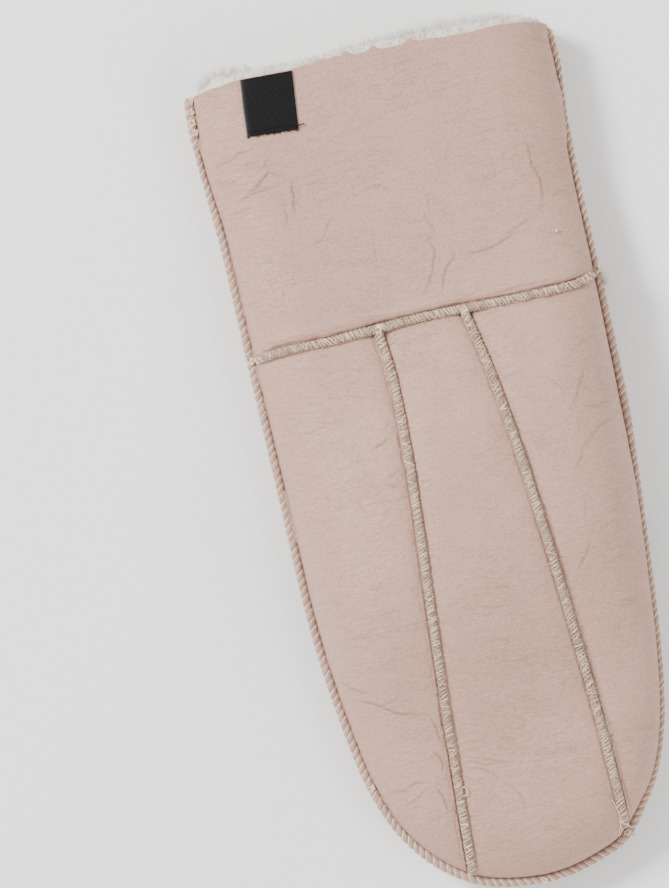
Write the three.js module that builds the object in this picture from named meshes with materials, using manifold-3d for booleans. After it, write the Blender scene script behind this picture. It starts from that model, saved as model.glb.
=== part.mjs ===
// Sheepskin mitten for the right hand, nappa side out and wool inside. It lies on its palm, with the
// thumb folded flat beneath the palm. Millimetres: +X is the thumb side, +Y points out of the mouth of
// the cuff, +Z is up, and z = 0 is the surface it lies on. The origin is the centre of its footprint.

import * as THREE from 'three';
import { mergeVertices } from 'three/addons/utils/BufferGeometryUtils.js';
import Module from 'manifold-3d';

const wasm = await Module();
wasm.setup();

// Skin, wool and seams
const LEATHER = 1.6;
const WOOL = 4.5;
const WOOL_UNDER_BACK = 3.0;
const WOOL_OVER_PALM = 3.4;
const WELT_RADIUS = 1.45;
const WELT_SIDES = 6;
const SEAM_INSET = 1.9;
const LIPS_APART = 0.35;
const CORNER_CUT = 1.3;

// Heights of the lying mitten
const SIDE_SEAM_Z = 12.0;
const SIDE_SEAM_RISE = 5.5;
const TIP_SEAM_DROP = 1.5;
const BACK_CROWN = 1.6;
const BACK_RAISE = 10.5;
const RAISE_START = 48;
const RAISE_END = -14;
const BACK_ROUNDING = 21;
const PALM_ROUNDING = 16;
const SEAM_DIP = 1.2;
const SEAM_DIP_WIDTH = 5;
const SEAM_DIP_FADE = 6;
const WELT_PROUD = 0.2;
const WELT_SUNK = 0.8;

// Cuff and mouth
const CUFF_SEAM_Y = 49;
const MOUTH_Y = 139.6;
const MOUTH_DROP = 3;
const MOUTH_HALF_WIDTH = 62;
const SIDE_WELT_TOP = 132;
const LOCK_ROOT = 3;
const PILE_SHORT_OF_MOUTH = 0.8;

// Thumb, folded flat between the palm and the table
const THUMB_THICKNESS = 14.6;
const THUMB_CLEARANCE = 0.8;
const THUMB_SEAM_Z = 7;
const THUMB_WELT_DROP = 1.8;
const THUMB_SEAM_AT_ROOT = 6;
const THUMB_SEAM_LEVEL = 30;
const DRAPE_START = 8;
const DRAPE_END = 28;
const THUMB_ROUNDING = 8;
const THUMB_ROOT_X = 39;
const THUMB_TIP_UPPER_X = -29;
const THUMB_TIP_LOWER_Y = -51.5;
const HEEL_WELT_END_X = 31;

// Where the palm's fingertip panel turns from the sides into the tip
const TIP_CORNER_OUTER_X = -35;
const TIP_CORNER_THUMB_X = 39;

// Label
const LABEL_THICKNESS = 0.5;
const LABEL_GAP = 0.35;

// The side seam in plan, from the mouth on the little finger's side round the fingertips to the thumb's
const SIDE_SEAM = [
  // x, y
  [-61.6, 137.0], [-62.2, 118.0], [-60.2, 90.0], [-59.3, 50.0], [-58.3, 0.0], [-57.2, -46.0],
  [-53.7, -78.0], [-49.2, -101.5], [-42.6, -118.0], [-32.0, -131.0], [-20.0, -138.8], [-4.0, -142.3],
  [8.0, -142.1], [19.0, -139.4], [29.5, -134.8], [37.2, -126.0], [44.8, -114.1], [50.0, -99.0],
  [53.9, -76.0], [56.6, -46.0], [59.4, -2.0], [59.9, 40.0], [59.9, 95.0], [61.6, 120.0], [61.0, 137.0],
];

// Height of the back along the mitten
const BACK_HEIGHT = [
  // y, z
  [142, 25.0], [95, 24.5], [49, 26.0], [0, 26.0], [-60, 25.0], [-110, 23.0], [-143, 21.0],
];

// Seams of the back and the palm in plan
const OUTER_SEAM = [[-15.9, 49], [-14.3, 30], [-15.0, 0], [-18.2, -50], [-20.4, -90], [-22.5, -137.9]];
const INNER_SEAM = [[13.4, 49], [17.3, 30], [21.5, 0], [25.3, -40], [29.2, -90], [31.0, -133.6]];
const GUSSET_FOOT = [-9.0, -31.6];
const GUSSET_SEAM = [[-7.1, 49], [-7.6, 25], [-8.3, 7], GUSSET_FOOT];
const HEEL_SEAM = [[-57.3, -44], [-39, -35.5], GUSSET_FOOT, [18, -33.5], [36, -35.8], [58.2, -30]];
const FINGERTIP_SEAM = [[-49.2, -101.5], [-20, -86], [10, -69], [33.9, -56.8], [56.6, -46.5]];

// Outline of the thumb in plan, from the side seam over its upper edge and tip back to the side seam
const THUMB_OUTLINE = [
  // x, y
  [59.9, 37.5], [34.0, 26.0], [4.3, 12.1], [-8.7, 5.1], [-20.0, -8.0], [-29.1, -23.2], [-36.5, -37.0],
  [-35.5, -46.5], [-28.2, -51.9], [-12.7, -53.9], [6.0, -47.5], [25.6, -39.7], [42.0, -34.6], [58.2, -30],
];

// Corners of the label in plan: at the mouth, and further down the cuff
const LABEL = {
  // x, y
  topLeft: [-43.4, 138.9],
  topRight: [-25.8, 139.1],
  lowRight: [-27.7, 119],
  lowLeft: [-45, 120],
};

// Locks of wool that stand out of the mouth
const LOCKS = [
  // x, reach past the leather, half width, half height
  [-52, 3.0, 3.2, 1.4], [-44, 3.4, 5.0, 1.8], [-34, 1.6, 6.0, 2.1], [-23, 1.3, 6.0, 2.1],
  [-12, 2.2, 6.0, 2.1], [-1, 3.4, 6.0, 2.1], [10, 4.0, 6.5, 2.1], [21, 4.4, 6.5, 2.1],
  [32, 4.0, 6.0, 2.1], [42, 2.6, 5.0, 1.8], [50, 1.4, 3.2, 1.4],
];

const clamp01 = (t) => Math.min(1, Math.max(0, t));
const smoothstep = (from, to, t) => {
  const s = clamp01((t - from) / (to - from));
  return s * s * (3 - 2 * s);
};
/** Quarter of an ellipse: steep at the seam, level one rounding further in. */
const pillow = (t) => Math.sqrt(1 - (1 - clamp01(t)) ** 2);

/** A smooth curve in plan through the rows of a table. */
function planCurve(rows) {
  const points = rows.map(([x, y]) => new THREE.Vector3(x, y, 0));
  const curve = new THREE.CatmullRomCurve3(points, false, 'centripetal');
  curve.arcLengthDivisions = 600;
  return curve;
}

/** Distance in plan from (x, y) to a curve, measured to a fine polyline of it. */
function distanceField(curve, divisions) {
  const chain = curve.getSpacedPoints(divisions);
  return (x, y) => {
    let nearest = Infinity;
    for (let i = 0; i < divisions; i += 1) {
      const a = chain[i];
      const b = chain[i + 1];
      const dx = b.x - a.x;
      const dy = b.y - a.y;
      const t = clamp01(((x - a.x) * dx + (y - a.y) * dy) / (dx * dx + dy * dy));
      nearest = Math.min(nearest, Math.hypot(x - a.x - t * dx, y - a.y - t * dy));
    }
    return nearest;
  };
}

const sideSeam = planCurve(SIDE_SEAM);
const outerSeam = planCurve(OUTER_SEAM);
const innerSeam = planCurve(INNER_SEAM);
const gussetSeam = planCurve(GUSSET_SEAM);
const heelSeam = planCurve(HEEL_SEAM);
const fingertipSeam = planCurve(FINGERTIP_SEAM);
const thumbOutline = planCurve(THUMB_OUTLINE);
const cuffSeam = planCurve([[-59.3, CUFF_SEAM_Y], [0, CUFF_SEAM_Y], [59.9, CUFF_SEAM_Y]]);

const toSideSeam = distanceField(sideSeam, 300);
const toThumbOutline = distanceField(thumbOutline, 160);
const toBackSeams = [cuffSeam, outerSeam, innerSeam].map((seam) => distanceField(seam, 40));
const toPalmSeams = [cuffSeam, gussetSeam, heelSeam, fingertipSeam].map((seam) => distanceField(seam, 40));

/** How far a plan point lies inside the edges of the panels along the side seam. */
const insideSeam = (x, y) => Math.max(0, toSideSeam(x, y) - SEAM_INSET);

/** Distance outside the thumb's outline, negative within it. */
const thumbPolygon = thumbOutline.getSpacedPoints(160);
function outsideThumb(x, y) {
  let inside = false;
  for (let i = 0, j = thumbPolygon.length - 1; i < thumbPolygon.length; j = i, i += 1) {
    const a = thumbPolygon[i];
    const b = thumbPolygon[j];
    if (a.y > y !== b.y > y && x < ((b.x - a.x) * (y - a.y)) / (b.y - a.y) + a.x) inside = !inside;
  }
  return inside ? -toThumbOutline(x, y) : toThumbOutline(x, y);
}

/** Height read from a table of y and z rows. */
function heightAlong(rows, y) {
  const next = rows.findIndex((row) => row[0] <= y);
  if (next <= 0) return next === 0 ? rows[0][1] : rows[rows.length - 1][1];
  const [y0, z0] = rows[next - 1];
  const [y1, z1] = rows[next];
  return z0 + (z1 - z0) * smoothstep(0, 1, (y - y0) / (y1 - y0));
}

/** Height of the side seam: higher beside the thumb, lower at the fingertips. */
function seamZ(x, y) {
  const besideThumb = smoothstep(112, 40, y) * smoothstep(-112, -30, y) * smoothstep(0, 50, x);
  return SIDE_SEAM_Z + SIDE_SEAM_RISE * besideThumb - TIP_SEAM_DROP * smoothstep(-90, -140, y);
}

/** Valley that the stitching draws along the seams. */
function dip(fields, x, y) {
  const nearest = Math.min(...fields.map((field) => field(x, y)));
  return SEAM_DIP * Math.exp(-((nearest / SEAM_DIP_WIDTH) ** 2));
}

/** Outer face of the back. */
function backZ(x, y) {
  const low = seamZ(x, y) + LIPS_APART;
  const crown = BACK_CROWN * (1 - (x / MOUTH_HALF_WIDTH) ** 2);
  const overThumb = BACK_RAISE * smoothstep(RAISE_START, RAISE_END, outsideThumb(x, y));
  const top = heightAlong(BACK_HEIGHT, y) + crown + overThumb;
  const inside = insideSeam(x, y);
  const rise = (top - low) * pillow(inside / BACK_ROUNDING);
  return low + rise - dip(toBackSeams, x, y) * smoothstep(0, SEAM_DIP_FADE, inside);
}

/** Outer face of the palm: flat on the table, and draped over the thumb. */
function palmZ(x, y) {
  const high = seamZ(x, y) - LIPS_APART;
  const over = (THUMB_THICKNESS + THUMB_CLEARANCE) * smoothstep(DRAPE_END, DRAPE_START, outsideThumb(x, y));
  const inside = insideSeam(x, y);
  const fall = (high - over) * pillow(inside / PALM_ROUNDING);
  return high - fall + dip(toPalmSeams, x, y) * smoothstep(0, SEAM_DIP_FADE, inside);
}

/** Height of the seam round the thumb: it leaves the side seam and sinks to half the thumb's thickness. */
function thumbSeamZ(x, y) {
  const root = seamZ(x, y) - THUMB_WELT_DROP;
  const nearRoot = smoothstep(THUMB_SEAM_LEVEL, THUMB_SEAM_AT_ROOT, toSideSeam(x, y));
  return THUMB_SEAM_Z + (root - THUMB_SEAM_Z) * nearRoot;
}

/** Distance inside the edges of the thumb's faces. */
const insideThumb = (x, y) => Math.max(0, -outsideThumb(x, y) - SEAM_INSET);

/** Lower outer face of the thumb: flat on the table, and up to the side seam at its root. */
function thumbUnderZ(x, y) {
  const fromThumbSeam = (thumbSeamZ(x, y) - LIPS_APART) * (1 - pillow(insideThumb(x, y) / THUMB_ROUNDING));
  const fromSideSeam = (seamZ(x, y) - LIPS_APART) * (1 - pillow(insideSeam(x, y) / PALM_ROUNDING));
  return Math.max(fromThumbSeam, fromSideSeam);
}

/** Upper outer face of the thumb, under the palm. */
function thumbUpperZ(x, y) {
  const low = thumbSeamZ(x, y) + LIPS_APART;
  return low + (THUMB_THICKNESS - low) * pillow(insideThumb(x, y) / THUMB_ROUNDING);
}

/** The raw edge of the leather at the mouth. */
const mouthY = (x) => MOUTH_Y - MOUTH_DROP * Math.abs(x / MOUTH_HALF_WIDTH) ** 6;

/** The parameter from t0 to t1 at which a rising or falling function crosses zero. */
function crossing(f, t0, t1) {
  let [a, b] = [t0, t1];
  const rising = f(b) > f(a);
  for (let i = 0; i < 40; i += 1) {
    const t = (a + b) / 2;
    if (f(t) > 0 === rising) b = t;
    else a = t;
  }
  return (a + b) / 2;
}

/** The part of a plan curve from u0 to u1, moved sideways: to the left of its direction if positive. */
function edge(curve, u0, u1, aside) {
  return (t) => {
    const u = u0 + (u1 - u0) * t;
    const p = curve.getPointAt(u);
    const d = curve.getTangentAt(u);
    return new THREE.Vector2(p.x - d.y * aside, p.y + d.x * aside);
  };
}

/** A straight edge between two plan points. */
const straight = (a, b) => (t) => new THREE.Vector2().lerpVectors(a, b, t);

/** An edge of straight stretches through plan points, run through at an even speed. */
function bentEdge(points) {
  const path = new THREE.CurvePath();
  points.slice(1).forEach((p, i) => path.add(new THREE.LineCurve(points[i], p)));
  return (t) => path.getPointAt(t);
}

/** Parameter of the point of a curve nearest to a plan point. */
function nearestOn(curve, point) {
  const samples = 1600;
  const gap = (i) => {
    const p = curve.getPointAt(i / samples);
    return Math.hypot(p.x - point.x, p.y - point.y);
  };
  let best = 0;
  for (let i = 1; i <= samples; i += 1) if (gap(i) < gap(best)) best = i;
  return best / samples;
}

/** Parameter between t0 and t1 where a curve moved aside is a given distance from the side seam. */
const atSide = (curve, aside, distance, t0, t1) => crossing((u) => {
  const p = edge(curve, u, u, aside)(0);
  return toSideSeam(p.x, p.y) - distance;
}, t0, t1);

/** The same near a curve's start, and near its end. */
const NEAR_START = 0.3;
const NEAR_END = 0.7;
const startAtSide = (curve, aside, distance) => atSide(curve, aside, distance, NEAR_START, 0);
const endAtSide = (curve, aside, distance) => atSide(curve, aside, distance, NEAR_END, 1);

/** Parameter between t0 and t1 where a curve passes a given x or y. */
const whereAxis = (curve, axis, value, t0 = 0, t1 = 1) =>
  crossing((u) => curve.getPointAt(u)[axis] - value, t0, t1);

/** The stretch of the side seam, moved in to the edge of its panels, between two plan points near it. */
const alongSide = (from, to) =>
  edge(sideSeam, nearestOn(sideSeam, from), nearestOn(sideSeam, to), SEAM_INSET);

/** Plan points of a patch between four edges: left and right run down, top and bottom run to the right. */
function coonsPatch({ left, right, top, bottom, across, down }) {
  const upper = top ?? straight(left(0), right(0));
  const lower = bottom ?? straight(left(1), right(1));
  return down.map((v) => across.map((u) => ['x', 'y'].map((axis) => {
    const fromRows = (1 - v) * upper(u)[axis] + v * lower(u)[axis];
    const fromColumns = (1 - u) * left(v)[axis] + u * right(v)[axis];
    const above = (1 - u) * left(0)[axis] + u * right(0)[axis];
    const below = (1 - u) * left(1)[axis] + u * right(1)[axis];
    return fromRows + fromColumns - (1 - v) * above - v * below;
  })));
}

/**
 * A closed sheet over a patch. Its outer face is heightAt, facing is 1 where that face looks up and -1
 * where it looks down, and its thickness runs inward from the depth start. limit keeps the edges of two
 * sheets that meet in a seam apart.
 */
function sheet(patch, heightAt, facing, thickness, { start = 0, limit = (x, y, z) => z } = {}) {
  const rows = patch.length;
  const columns = patch[0].length;
  const face = patch.map((row) => row.map(([x, y]) => new THREE.Vector3(x, y, heightAt(x, y))));
  const at = (j, i) => face[Math.min(rows - 1, Math.max(0, j))][Math.min(columns - 1, Math.max(0, i))];
  const outward = (j, i) => {
    const across = at(j, i + 1).clone().sub(at(j, i - 1));
    const down = at(j + 1, i).clone().sub(at(j - 1, i));
    return down.cross(across).normalize().multiplyScalar(facing);
  };
  const layer = (depth) => face.flatMap((row, j) => row.flatMap((p, i) => {
    const q = p.clone().addScaledVector(outward(j, i), -depth);
    return [q.x, q.y, limit(q.x, q.y, q.z)];
  }));

  const outer = (j, i) => j * columns + i;
  const inner = (j, i) => (rows + j) * columns + i;
  const index = [];
  const quad = (a, b, c, d) => index.push(...(facing > 0 ? [a, b, c, a, c, d] : [a, c, b, a, d, c]));
  /** Whether the fold from (j, i) to (j + 1, i + 1) lies nearer the true surface than the other one. */
  const foldsDown = (j, i) => {
    const middle = (p, q) => Math.abs((p.z + q.z) / 2 - heightAt((p.x + q.x) / 2, (p.y + q.y) / 2));
    return middle(at(j, i), at(j + 1, i + 1)) <= middle(at(j + 1, i), at(j, i + 1));
  };
  for (let j = 0; j < rows - 1; j += 1) {
    for (let i = 0; i < columns - 1; i += 1) {
      if (foldsDown(j, i)) {
        quad(outer(j, i), outer(j + 1, i), outer(j + 1, i + 1), outer(j, i + 1));
        quad(inner(j + 1, i + 1), inner(j + 1, i), inner(j, i), inner(j, i + 1));
      } else {
        quad(outer(j + 1, i), outer(j + 1, i + 1), outer(j, i + 1), outer(j, i));
        quad(inner(j, i + 1), inner(j + 1, i + 1), inner(j + 1, i), inner(j, i));
      }
    }
  }
  for (let i = 0; i < columns - 1; i += 1) {
    quad(outer(0, i), outer(0, i + 1), inner(0, i + 1), inner(0, i));
    quad(outer(rows - 1, i + 1), outer(rows - 1, i), inner(rows - 1, i), inner(rows - 1, i + 1));
  }
  for (let j = 0; j < rows - 1; j += 1) {
    quad(outer(j + 1, 0), outer(j, 0), inner(j, 0), inner(j + 1, 0));
    quad(outer(j, columns - 1), outer(j + 1, columns - 1), inner(j + 1, columns - 1), inner(j, columns - 1));
  }
  const positions = [...layer(start), ...layer(start + thickness)];
  const geometry = new THREE.BufferGeometry();
  geometry.setAttribute('position', new THREE.Float32BufferAttribute(positions, 3));
  geometry.setIndex(index);
  geometry.computeVertexNormals();
  return geometry;
}

/** A raised seam: a thin tube over a plan curve from u0 to u1, at the height that heightAt gives. */
function welt(curve, u0, u1, heightAt, steps) {
  const points = [];
  for (let i = 0; i <= 2 * steps; i += 1) {
    const p = curve.getPointAt(u0 + ((u1 - u0) * i) / (2 * steps));
    points.push(new THREE.Vector3(p.x, p.y, heightAt(p.x, p.y)));
  }
  const section = [];
  for (let i = 0; i < WELT_SIDES; i += 1) {
    const angle = (2 * Math.PI * i) / WELT_SIDES;
    section.push(new THREE.Vector2(WELT_RADIUS * Math.cos(angle), WELT_RADIUS * Math.sin(angle)));
  }
  const extrudePath = new THREE.CatmullRomCurve3(points, false, 'centripetal');
  return new THREE.ExtrudeGeometry(new THREE.Shape(section), { steps, extrudePath, bevelEnabled: false });
}

/** A closed mesh as a solid that can be joined to another. */
function toSolid(geometry) {
  const bare = geometry.clone();
  bare.deleteAttribute('normal');
  bare.deleteAttribute('uv');
  const merged = mergeVertices(bare, 1e-4);
  return new wasm.Manifold(new wasm.Mesh({
    numProp: 3,
    vertProperties: new Float32Array(merged.attributes.position.array),
    triVerts: new Uint32Array(merged.index.array),
  }));
}

/** A joined solid as a geometry. */
function toGeometry(solid) {
  const mesh = solid.getMesh();
  const geometry = new THREE.BufferGeometry();
  geometry.setAttribute('position', new THREE.BufferAttribute(new Float32Array(mesh.vertProperties), 3));
  geometry.setIndex(new THREE.BufferAttribute(new Uint32Array(mesh.triVerts), 1));
  geometry.computeVertexNormals();
  return geometry;
}

// Where the rows and columns of the panels lie: closer together along the seams
const EDGE_TO_EDGE = [0, 0.011, 0.042, 0.09, 0.16, 0.27, 0.42, 0.58, 0.73, 0.84, 0.91, 0.958, 0.989, 1];
const EDGE_TO_SEAM = [0, 0.03, 0.115, 0.24, 0.4, 0.6, 0.8, 0.92, 1];
const SEAM_TO_EDGE = EDGE_TO_SEAM.map((t) => 1 - t).reverse();
const SEAM_TO_SEAM = [0, 0.08, 0.24, 0.42, 0.58, 0.76, 0.92, 1];
const CUFF_ROWS = [0, 0.12, 0.28, 0.46, 0.64, 0.8, 0.91, 0.97, 1];
const PANEL_ROWS = [0, 0.016, 0.045, 0.12, 0.21, 0.31, 0.41, 0.51, 0.61, 0.71, 0.8, 0.88, 0.94, 0.98, 1];
const MIDDLE_ROWS = [0, 0.016, 0.045, 0.13, 0.24, 0.36, 0.48, 0.6, 0.71, 0.81, 0.89, 0.935, 0.97, 0.992, 1];
const even = (n) => Array.from({ length: n + 1 }, (_, i) => i / n);

const BELOW_CUFF = CUFF_SEAM_Y - SEAM_INSET;
const ABOVE_CUFF = CUFF_SEAM_Y + SEAM_INSET;
const TIP = 0.5;
const LIP = LEATHER + 0.4;

/** Parameter where a seam leaves the cuff seam. */
const offCuff = (seam) => whereAxis(seam, 'y', BELOW_CUFF);

/** Keeps the edge of a sheet of the back above the side seam, and one of the palm below it. */
const backLip = (depth) => (x, y, z) =>
  insideSeam(x, y) < depth ? Math.max(z, seamZ(x, y) + LIPS_APART) : z;
const palmLip = (depth) => (x, y, z) =>
  insideSeam(x, y) < depth ? Math.min(z, seamZ(x, y) - LIPS_APART) : z;
const leatherOfBack = (patch) => sheet(patch, backZ, 1, LEATHER, { limit: backLip(LIP) });
const leatherOfPalm = (patch) => sheet(patch, palmZ, -1, LEATHER, { limit: palmLip(LIP) });

/** The side seam at a height in plan: on the little finger's side, or on the thumb's. */
const outerSide = (y) => sideSeam.getPointAt(whereAxis(sideSeam, 'y', y, 0, TIP));
const thumbSide = (y) => sideSeam.getPointAt(whereAxis(sideSeam, 'y', y, TIP, 1));

/** The cuff's patch, from a distance short of the mouth's edge down to the cuff seam. */
function cuffPatch(shortOfMouth) {
  const corner = (t0, t1) => crossing((u) => {
    const p = edge(sideSeam, u, u, SEAM_INSET)(0);
    return p.y - mouthY(p.x) + shortOfMouth;
  }, t0, t1);
  const left = edge(sideSeam, corner(0, TIP), nearestOn(sideSeam, outerSide(ABOVE_CUFF)), SEAM_INSET);
  const right = edge(sideSeam, corner(TIP, 1), nearestOn(sideSeam, thumbSide(ABOVE_CUFF)), SEAM_INSET);
  const top = (t) => {
    const x = left(0).x + (right(0).x - left(0).x) * t;
    return new THREE.Vector2(x, mouthY(x) - shortOfMouth);
  };
  return coonsPatch({ left, right, top, across: EDGE_TO_EDGE, down: CUFF_ROWS });
}

/** A back panel's long edge: a seam moved aside, from the cuff seam to a distance short of the side seam. */
function longEdge(seam, aside, shortOfSide) {
  const end = endAtSide(seam, aside, SEAM_INSET + shortOfSide);
  return edge(seam, offCuff(seam), end, aside);
}

function backPanelOuter() {
  const right = longEdge(outerSeam, -SEAM_INSET, CORNER_CUT);
  const left = alongSide(outerSide(BELOW_CUFF), { x: right(1).x - CORNER_CUT, y: right(1).y - CORNER_CUT });
  return leatherOfBack(coonsPatch({ left, right, across: EDGE_TO_SEAM, down: PANEL_ROWS }));
}

function backPanelMiddle() {
  const left = longEdge(outerSeam, SEAM_INSET, 0);
  const right = longEdge(innerSeam, -SEAM_INSET, 0);
  const bottom = alongSide(left(1), right(1));
  return leatherOfBack(coonsPatch({ left, right, bottom, across: SEAM_TO_SEAM, down: MIDDLE_ROWS }));
}

function backPanelInner() {
  const left = longEdge(innerSeam, SEAM_INSET, CORNER_CUT);
  const right = alongSide(thumbSide(BELOW_CUFF), { x: left(1).x + CORNER_CUT, y: left(1).y - CORNER_CUT });
  return leatherOfBack(coonsPatch({ left, right, across: SEAM_TO_EDGE, down: PANEL_ROWS }));
}

// Where the palm's seams cross
const heelMeetsGusset = nearestOn(heelSeam, gussetSeam.getPointAt(1));
const heelLeft = startAtSide(heelSeam, SEAM_INSET, SEAM_INSET);
const besideSeam = SEAM_INSET / heelSeam.getLength();
const thumbRootLow = whereAxis(heelSeam, 'x', THUMB_ROOT_X);
const thumbRootUpper = whereAxis(thumbOutline, 'x', THUMB_ROOT_X, 0, NEAR_START);
const PALM_ROWS = [0, 0.03, 0.09, 0.19, 0.31, 0.43, 0.55, 0.67, 0.79, 0.9, 0.97, 1];
const GUSSET_ROWS = [0, 0.035, 0.075, 0.13, 0.2, 0.3, 0.4, 0.5, 0.6, 0.7, 0.8, 0.9, 0.965, 1];
const BAND_ROWS = [0, 0.05, 0.16, 0.3, 0.45, 0.6, 0.76, 0.92, 1];
const FINGERTIP_ROWS = [0, 0.04, 0.14, 0.3, 0.48, 0.64, 0.78, 0.88, 0.945, 0.985, 1];
const HEEL_COLUMNS = [0, 0.025, 0.09, 0.19, 0.31, 0.45, 0.6, 0.76, 0.92, 1];

/** The edge beside the gusset's seam, from the cuff seam down to the height of a plan point. */
const besideGusset = (foot, aside) =>
  edge(gussetSeam, offCuff(gussetSeam), whereAxis(gussetSeam, 'y', foot.y), aside);

function palmHeel() {
  const bottom = edge(heelSeam, heelLeft, heelMeetsGusset - besideSeam, SEAM_INSET);
  const left = alongSide(outerSide(BELOW_CUFF), bottom(0));
  const right = besideGusset(bottom(1), -SEAM_INSET);
  return leatherOfPalm(coonsPatch({ left, right, bottom, across: HEEL_COLUMNS, down: PALM_ROWS }));
}

/** The gusset: its inner edge runs along the thumb's upper edge and then down the thumb's root. */
function thumbGusset() {
  const bottom = edge(heelSeam, heelMeetsGusset + besideSeam, thumbRootLow, SEAM_INSET);
  const left = besideGusset(bottom(0), SEAM_INSET);
  const upper = edge(thumbOutline, 0, thumbRootUpper, -SEAM_INSET);
  const start = crossing((t) => toSideSeam(upper(t).x, upper(t).y) - SEAM_INSET, 0, 1);
  const side = edge(sideSeam, nearestOn(sideSeam, thumbSide(BELOW_CUFF)), 1, SEAM_INSET)(0);
  const right = bentEdge([side, upper(start), upper((start + 1) / 2), upper(1), bottom(1)]);
  return leatherOfPalm(coonsPatch({ left, right, bottom, across: SEAM_TO_EDGE, down: GUSSET_ROWS }));
}

/** The edge beside a seam that runs right across the palm. */
const acrossPalm = (seam, aside) =>
  edge(seam, startAtSide(seam, aside, SEAM_INSET), endAtSide(seam, aside, SEAM_INSET), aside);

function palmBand() {
  const top = acrossPalm(heelSeam, -SEAM_INSET);
  const bottom = acrossPalm(fingertipSeam, SEAM_INSET);
  const left = alongSide(top(0), bottom(0));
  const right = alongSide(top(1), bottom(1));
  return leatherOfPalm(coonsPatch({ left, right, top, bottom, across: EDGE_TO_EDGE, down: BAND_ROWS }));
}

function palmFingertip() {
  const top = acrossPalm(fingertipSeam, -SEAM_INSET);
  const outerCorner = sideSeam.getPointAt(whereAxis(sideSeam, 'x', TIP_CORNER_OUTER_X, NEAR_START, TIP));
  const thumbCorner = sideSeam.getPointAt(whereAxis(sideSeam, 'x', TIP_CORNER_THUMB_X, TIP, NEAR_END));
  const left = alongSide(top(0), outerCorner);
  const right = alongSide(top(1), thumbCorner);
  const bottom = alongSide(outerCorner, thumbCorner);
  return leatherOfPalm(coonsPatch({ left, right, top, bottom, across: EDGE_TO_EDGE, down: FINGERTIP_ROWS }));
}

// The thumb's faces lie between its upper edge, its lower edge, the cut across its tip and its root
const thumbTipUpper = whereAxis(thumbOutline, 'x', THUMB_TIP_UPPER_X, 0, 0.5);
const thumbTipLower = whereAxis(thumbOutline, 'y', THUMB_TIP_LOWER_Y, 0, 0.56);
const THUMB_ROWS = [0, 0.025, 0.1, 0.22, 0.4, 0.6, 0.78, 0.9, 0.975, 1];
const THUMB_UNDER_COLUMNS = [0, 0.014, 0.05, 0.11, 0.2, 0.32, 0.45, 0.58, 0.7, 0.8, 0.88, 0.945, 0.985, 1];
const THUMB_UPPER_COLUMNS = [0, 0.02, 0.08, 0.17, 0.32, 0.5, 0.68, 0.85, 1];
const underLip = (x, y, z) =>
  (insideThumb(x, y) < LIP ? Math.min(z, thumbSeamZ(x, y) - LIPS_APART) : palmLip(LIP)(x, y, z));
const upperLip = (x, y, z) => (insideThumb(x, y) < LIP ? Math.max(z, thumbSeamZ(x, y) + LIPS_APART) : z);

/** A face of the thumb between two parameters of its outline, closed at the root by an edge. */
function thumbPatch(upperStart, lowerEnd, across, right) {
  const top = edge(thumbOutline, thumbTipUpper, upperStart, SEAM_INSET);
  const bottom = edge(thumbOutline, thumbTipLower, lowerEnd, SEAM_INSET);
  const left = edge(thumbOutline, thumbTipUpper, thumbTipLower, SEAM_INSET);
  return coonsPatch({ left, right: right(top(1), bottom(1)), top, bottom, across, down: THUMB_ROWS });
}

function thumbUnder() {
  const upper = startAtSide(thumbOutline, SEAM_INSET, SEAM_INSET);
  const lower = endAtSide(thumbOutline, SEAM_INSET, SEAM_INSET);
  const patch = thumbPatch(upper, lower, THUMB_UNDER_COLUMNS, alongSide);
  return sheet(patch, thumbUnderZ, -1, LEATHER, { limit: underLip });
}

function thumbUpper() {
  const lower = whereAxis(thumbOutline, 'x', THUMB_ROOT_X, NEAR_END, 1);
  const patch = thumbPatch(thumbRootUpper, lower, THUMB_UPPER_COLUMNS, straight);
  return sheet(patch, thumbUpperZ, 1, LEATHER, { limit: upperLip });
}

/** The wool of one half of the cuff: its pile as a sheet, with locks at the mouth joined to it. */
function fleece(heightAt, facing, depth, lip) {
  const limit = lip(depth + WOOL);
  const patch = cuffPatch(PILE_SHORT_OF_MOUTH);
  const pile = toSolid(sheet(patch, heightAt, facing, WOOL, { start: depth, limit }));
  return toGeometry(LOCKS.reduce((joined, [x, reach, halfWidth, halfHeight]) => {
    const lock = new THREE.SphereGeometry(1, 6, 4);
    lock.scale(halfWidth, reach + LOCK_ROOT, halfHeight);
    const inward = facing * (depth + WOOL / 2);
    const y = mouthY(x) - LOCK_ROOT;
    lock.translate(x, y, heightAt(x, y) - inward);
    return joined.add(toSolid(lock));
  }, pile));
}

/** The label, a thin sheet that follows the leather just above it. */
function labelGeometry() {
  const corner = (name) => new THREE.Vector2(...LABEL[name]);
  const left = straight(corner('topLeft'), corner('lowLeft'));
  const right = straight(corner('topRight'), corner('lowRight'));
  const above = (x, y) => backZ(x, y) + LABEL_GAP + LABEL_THICKNESS;
  return sheet(coonsPatch({ left, right, across: even(5), down: even(5) }), above, 1, LABEL_THICKNESS);
}

// Finishes
const nappa = { color: 0xcbb7af, roughness: 0.55, metalness: 0 };
const thread = { color: 0xdccab6, roughness: 0.5, metalness: 0 };
const wool = { color: 0xeee8e0, roughness: 0.95, metalness: 0 };
const woven = { color: 0x262526, roughness: 0.85, metalness: 0 };

function piece(name, geometry, finish) {
  const mesh = new THREE.Mesh(geometry, new THREE.MeshStandardMaterial(finish));
  mesh.name = name;
  return mesh;
}

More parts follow.
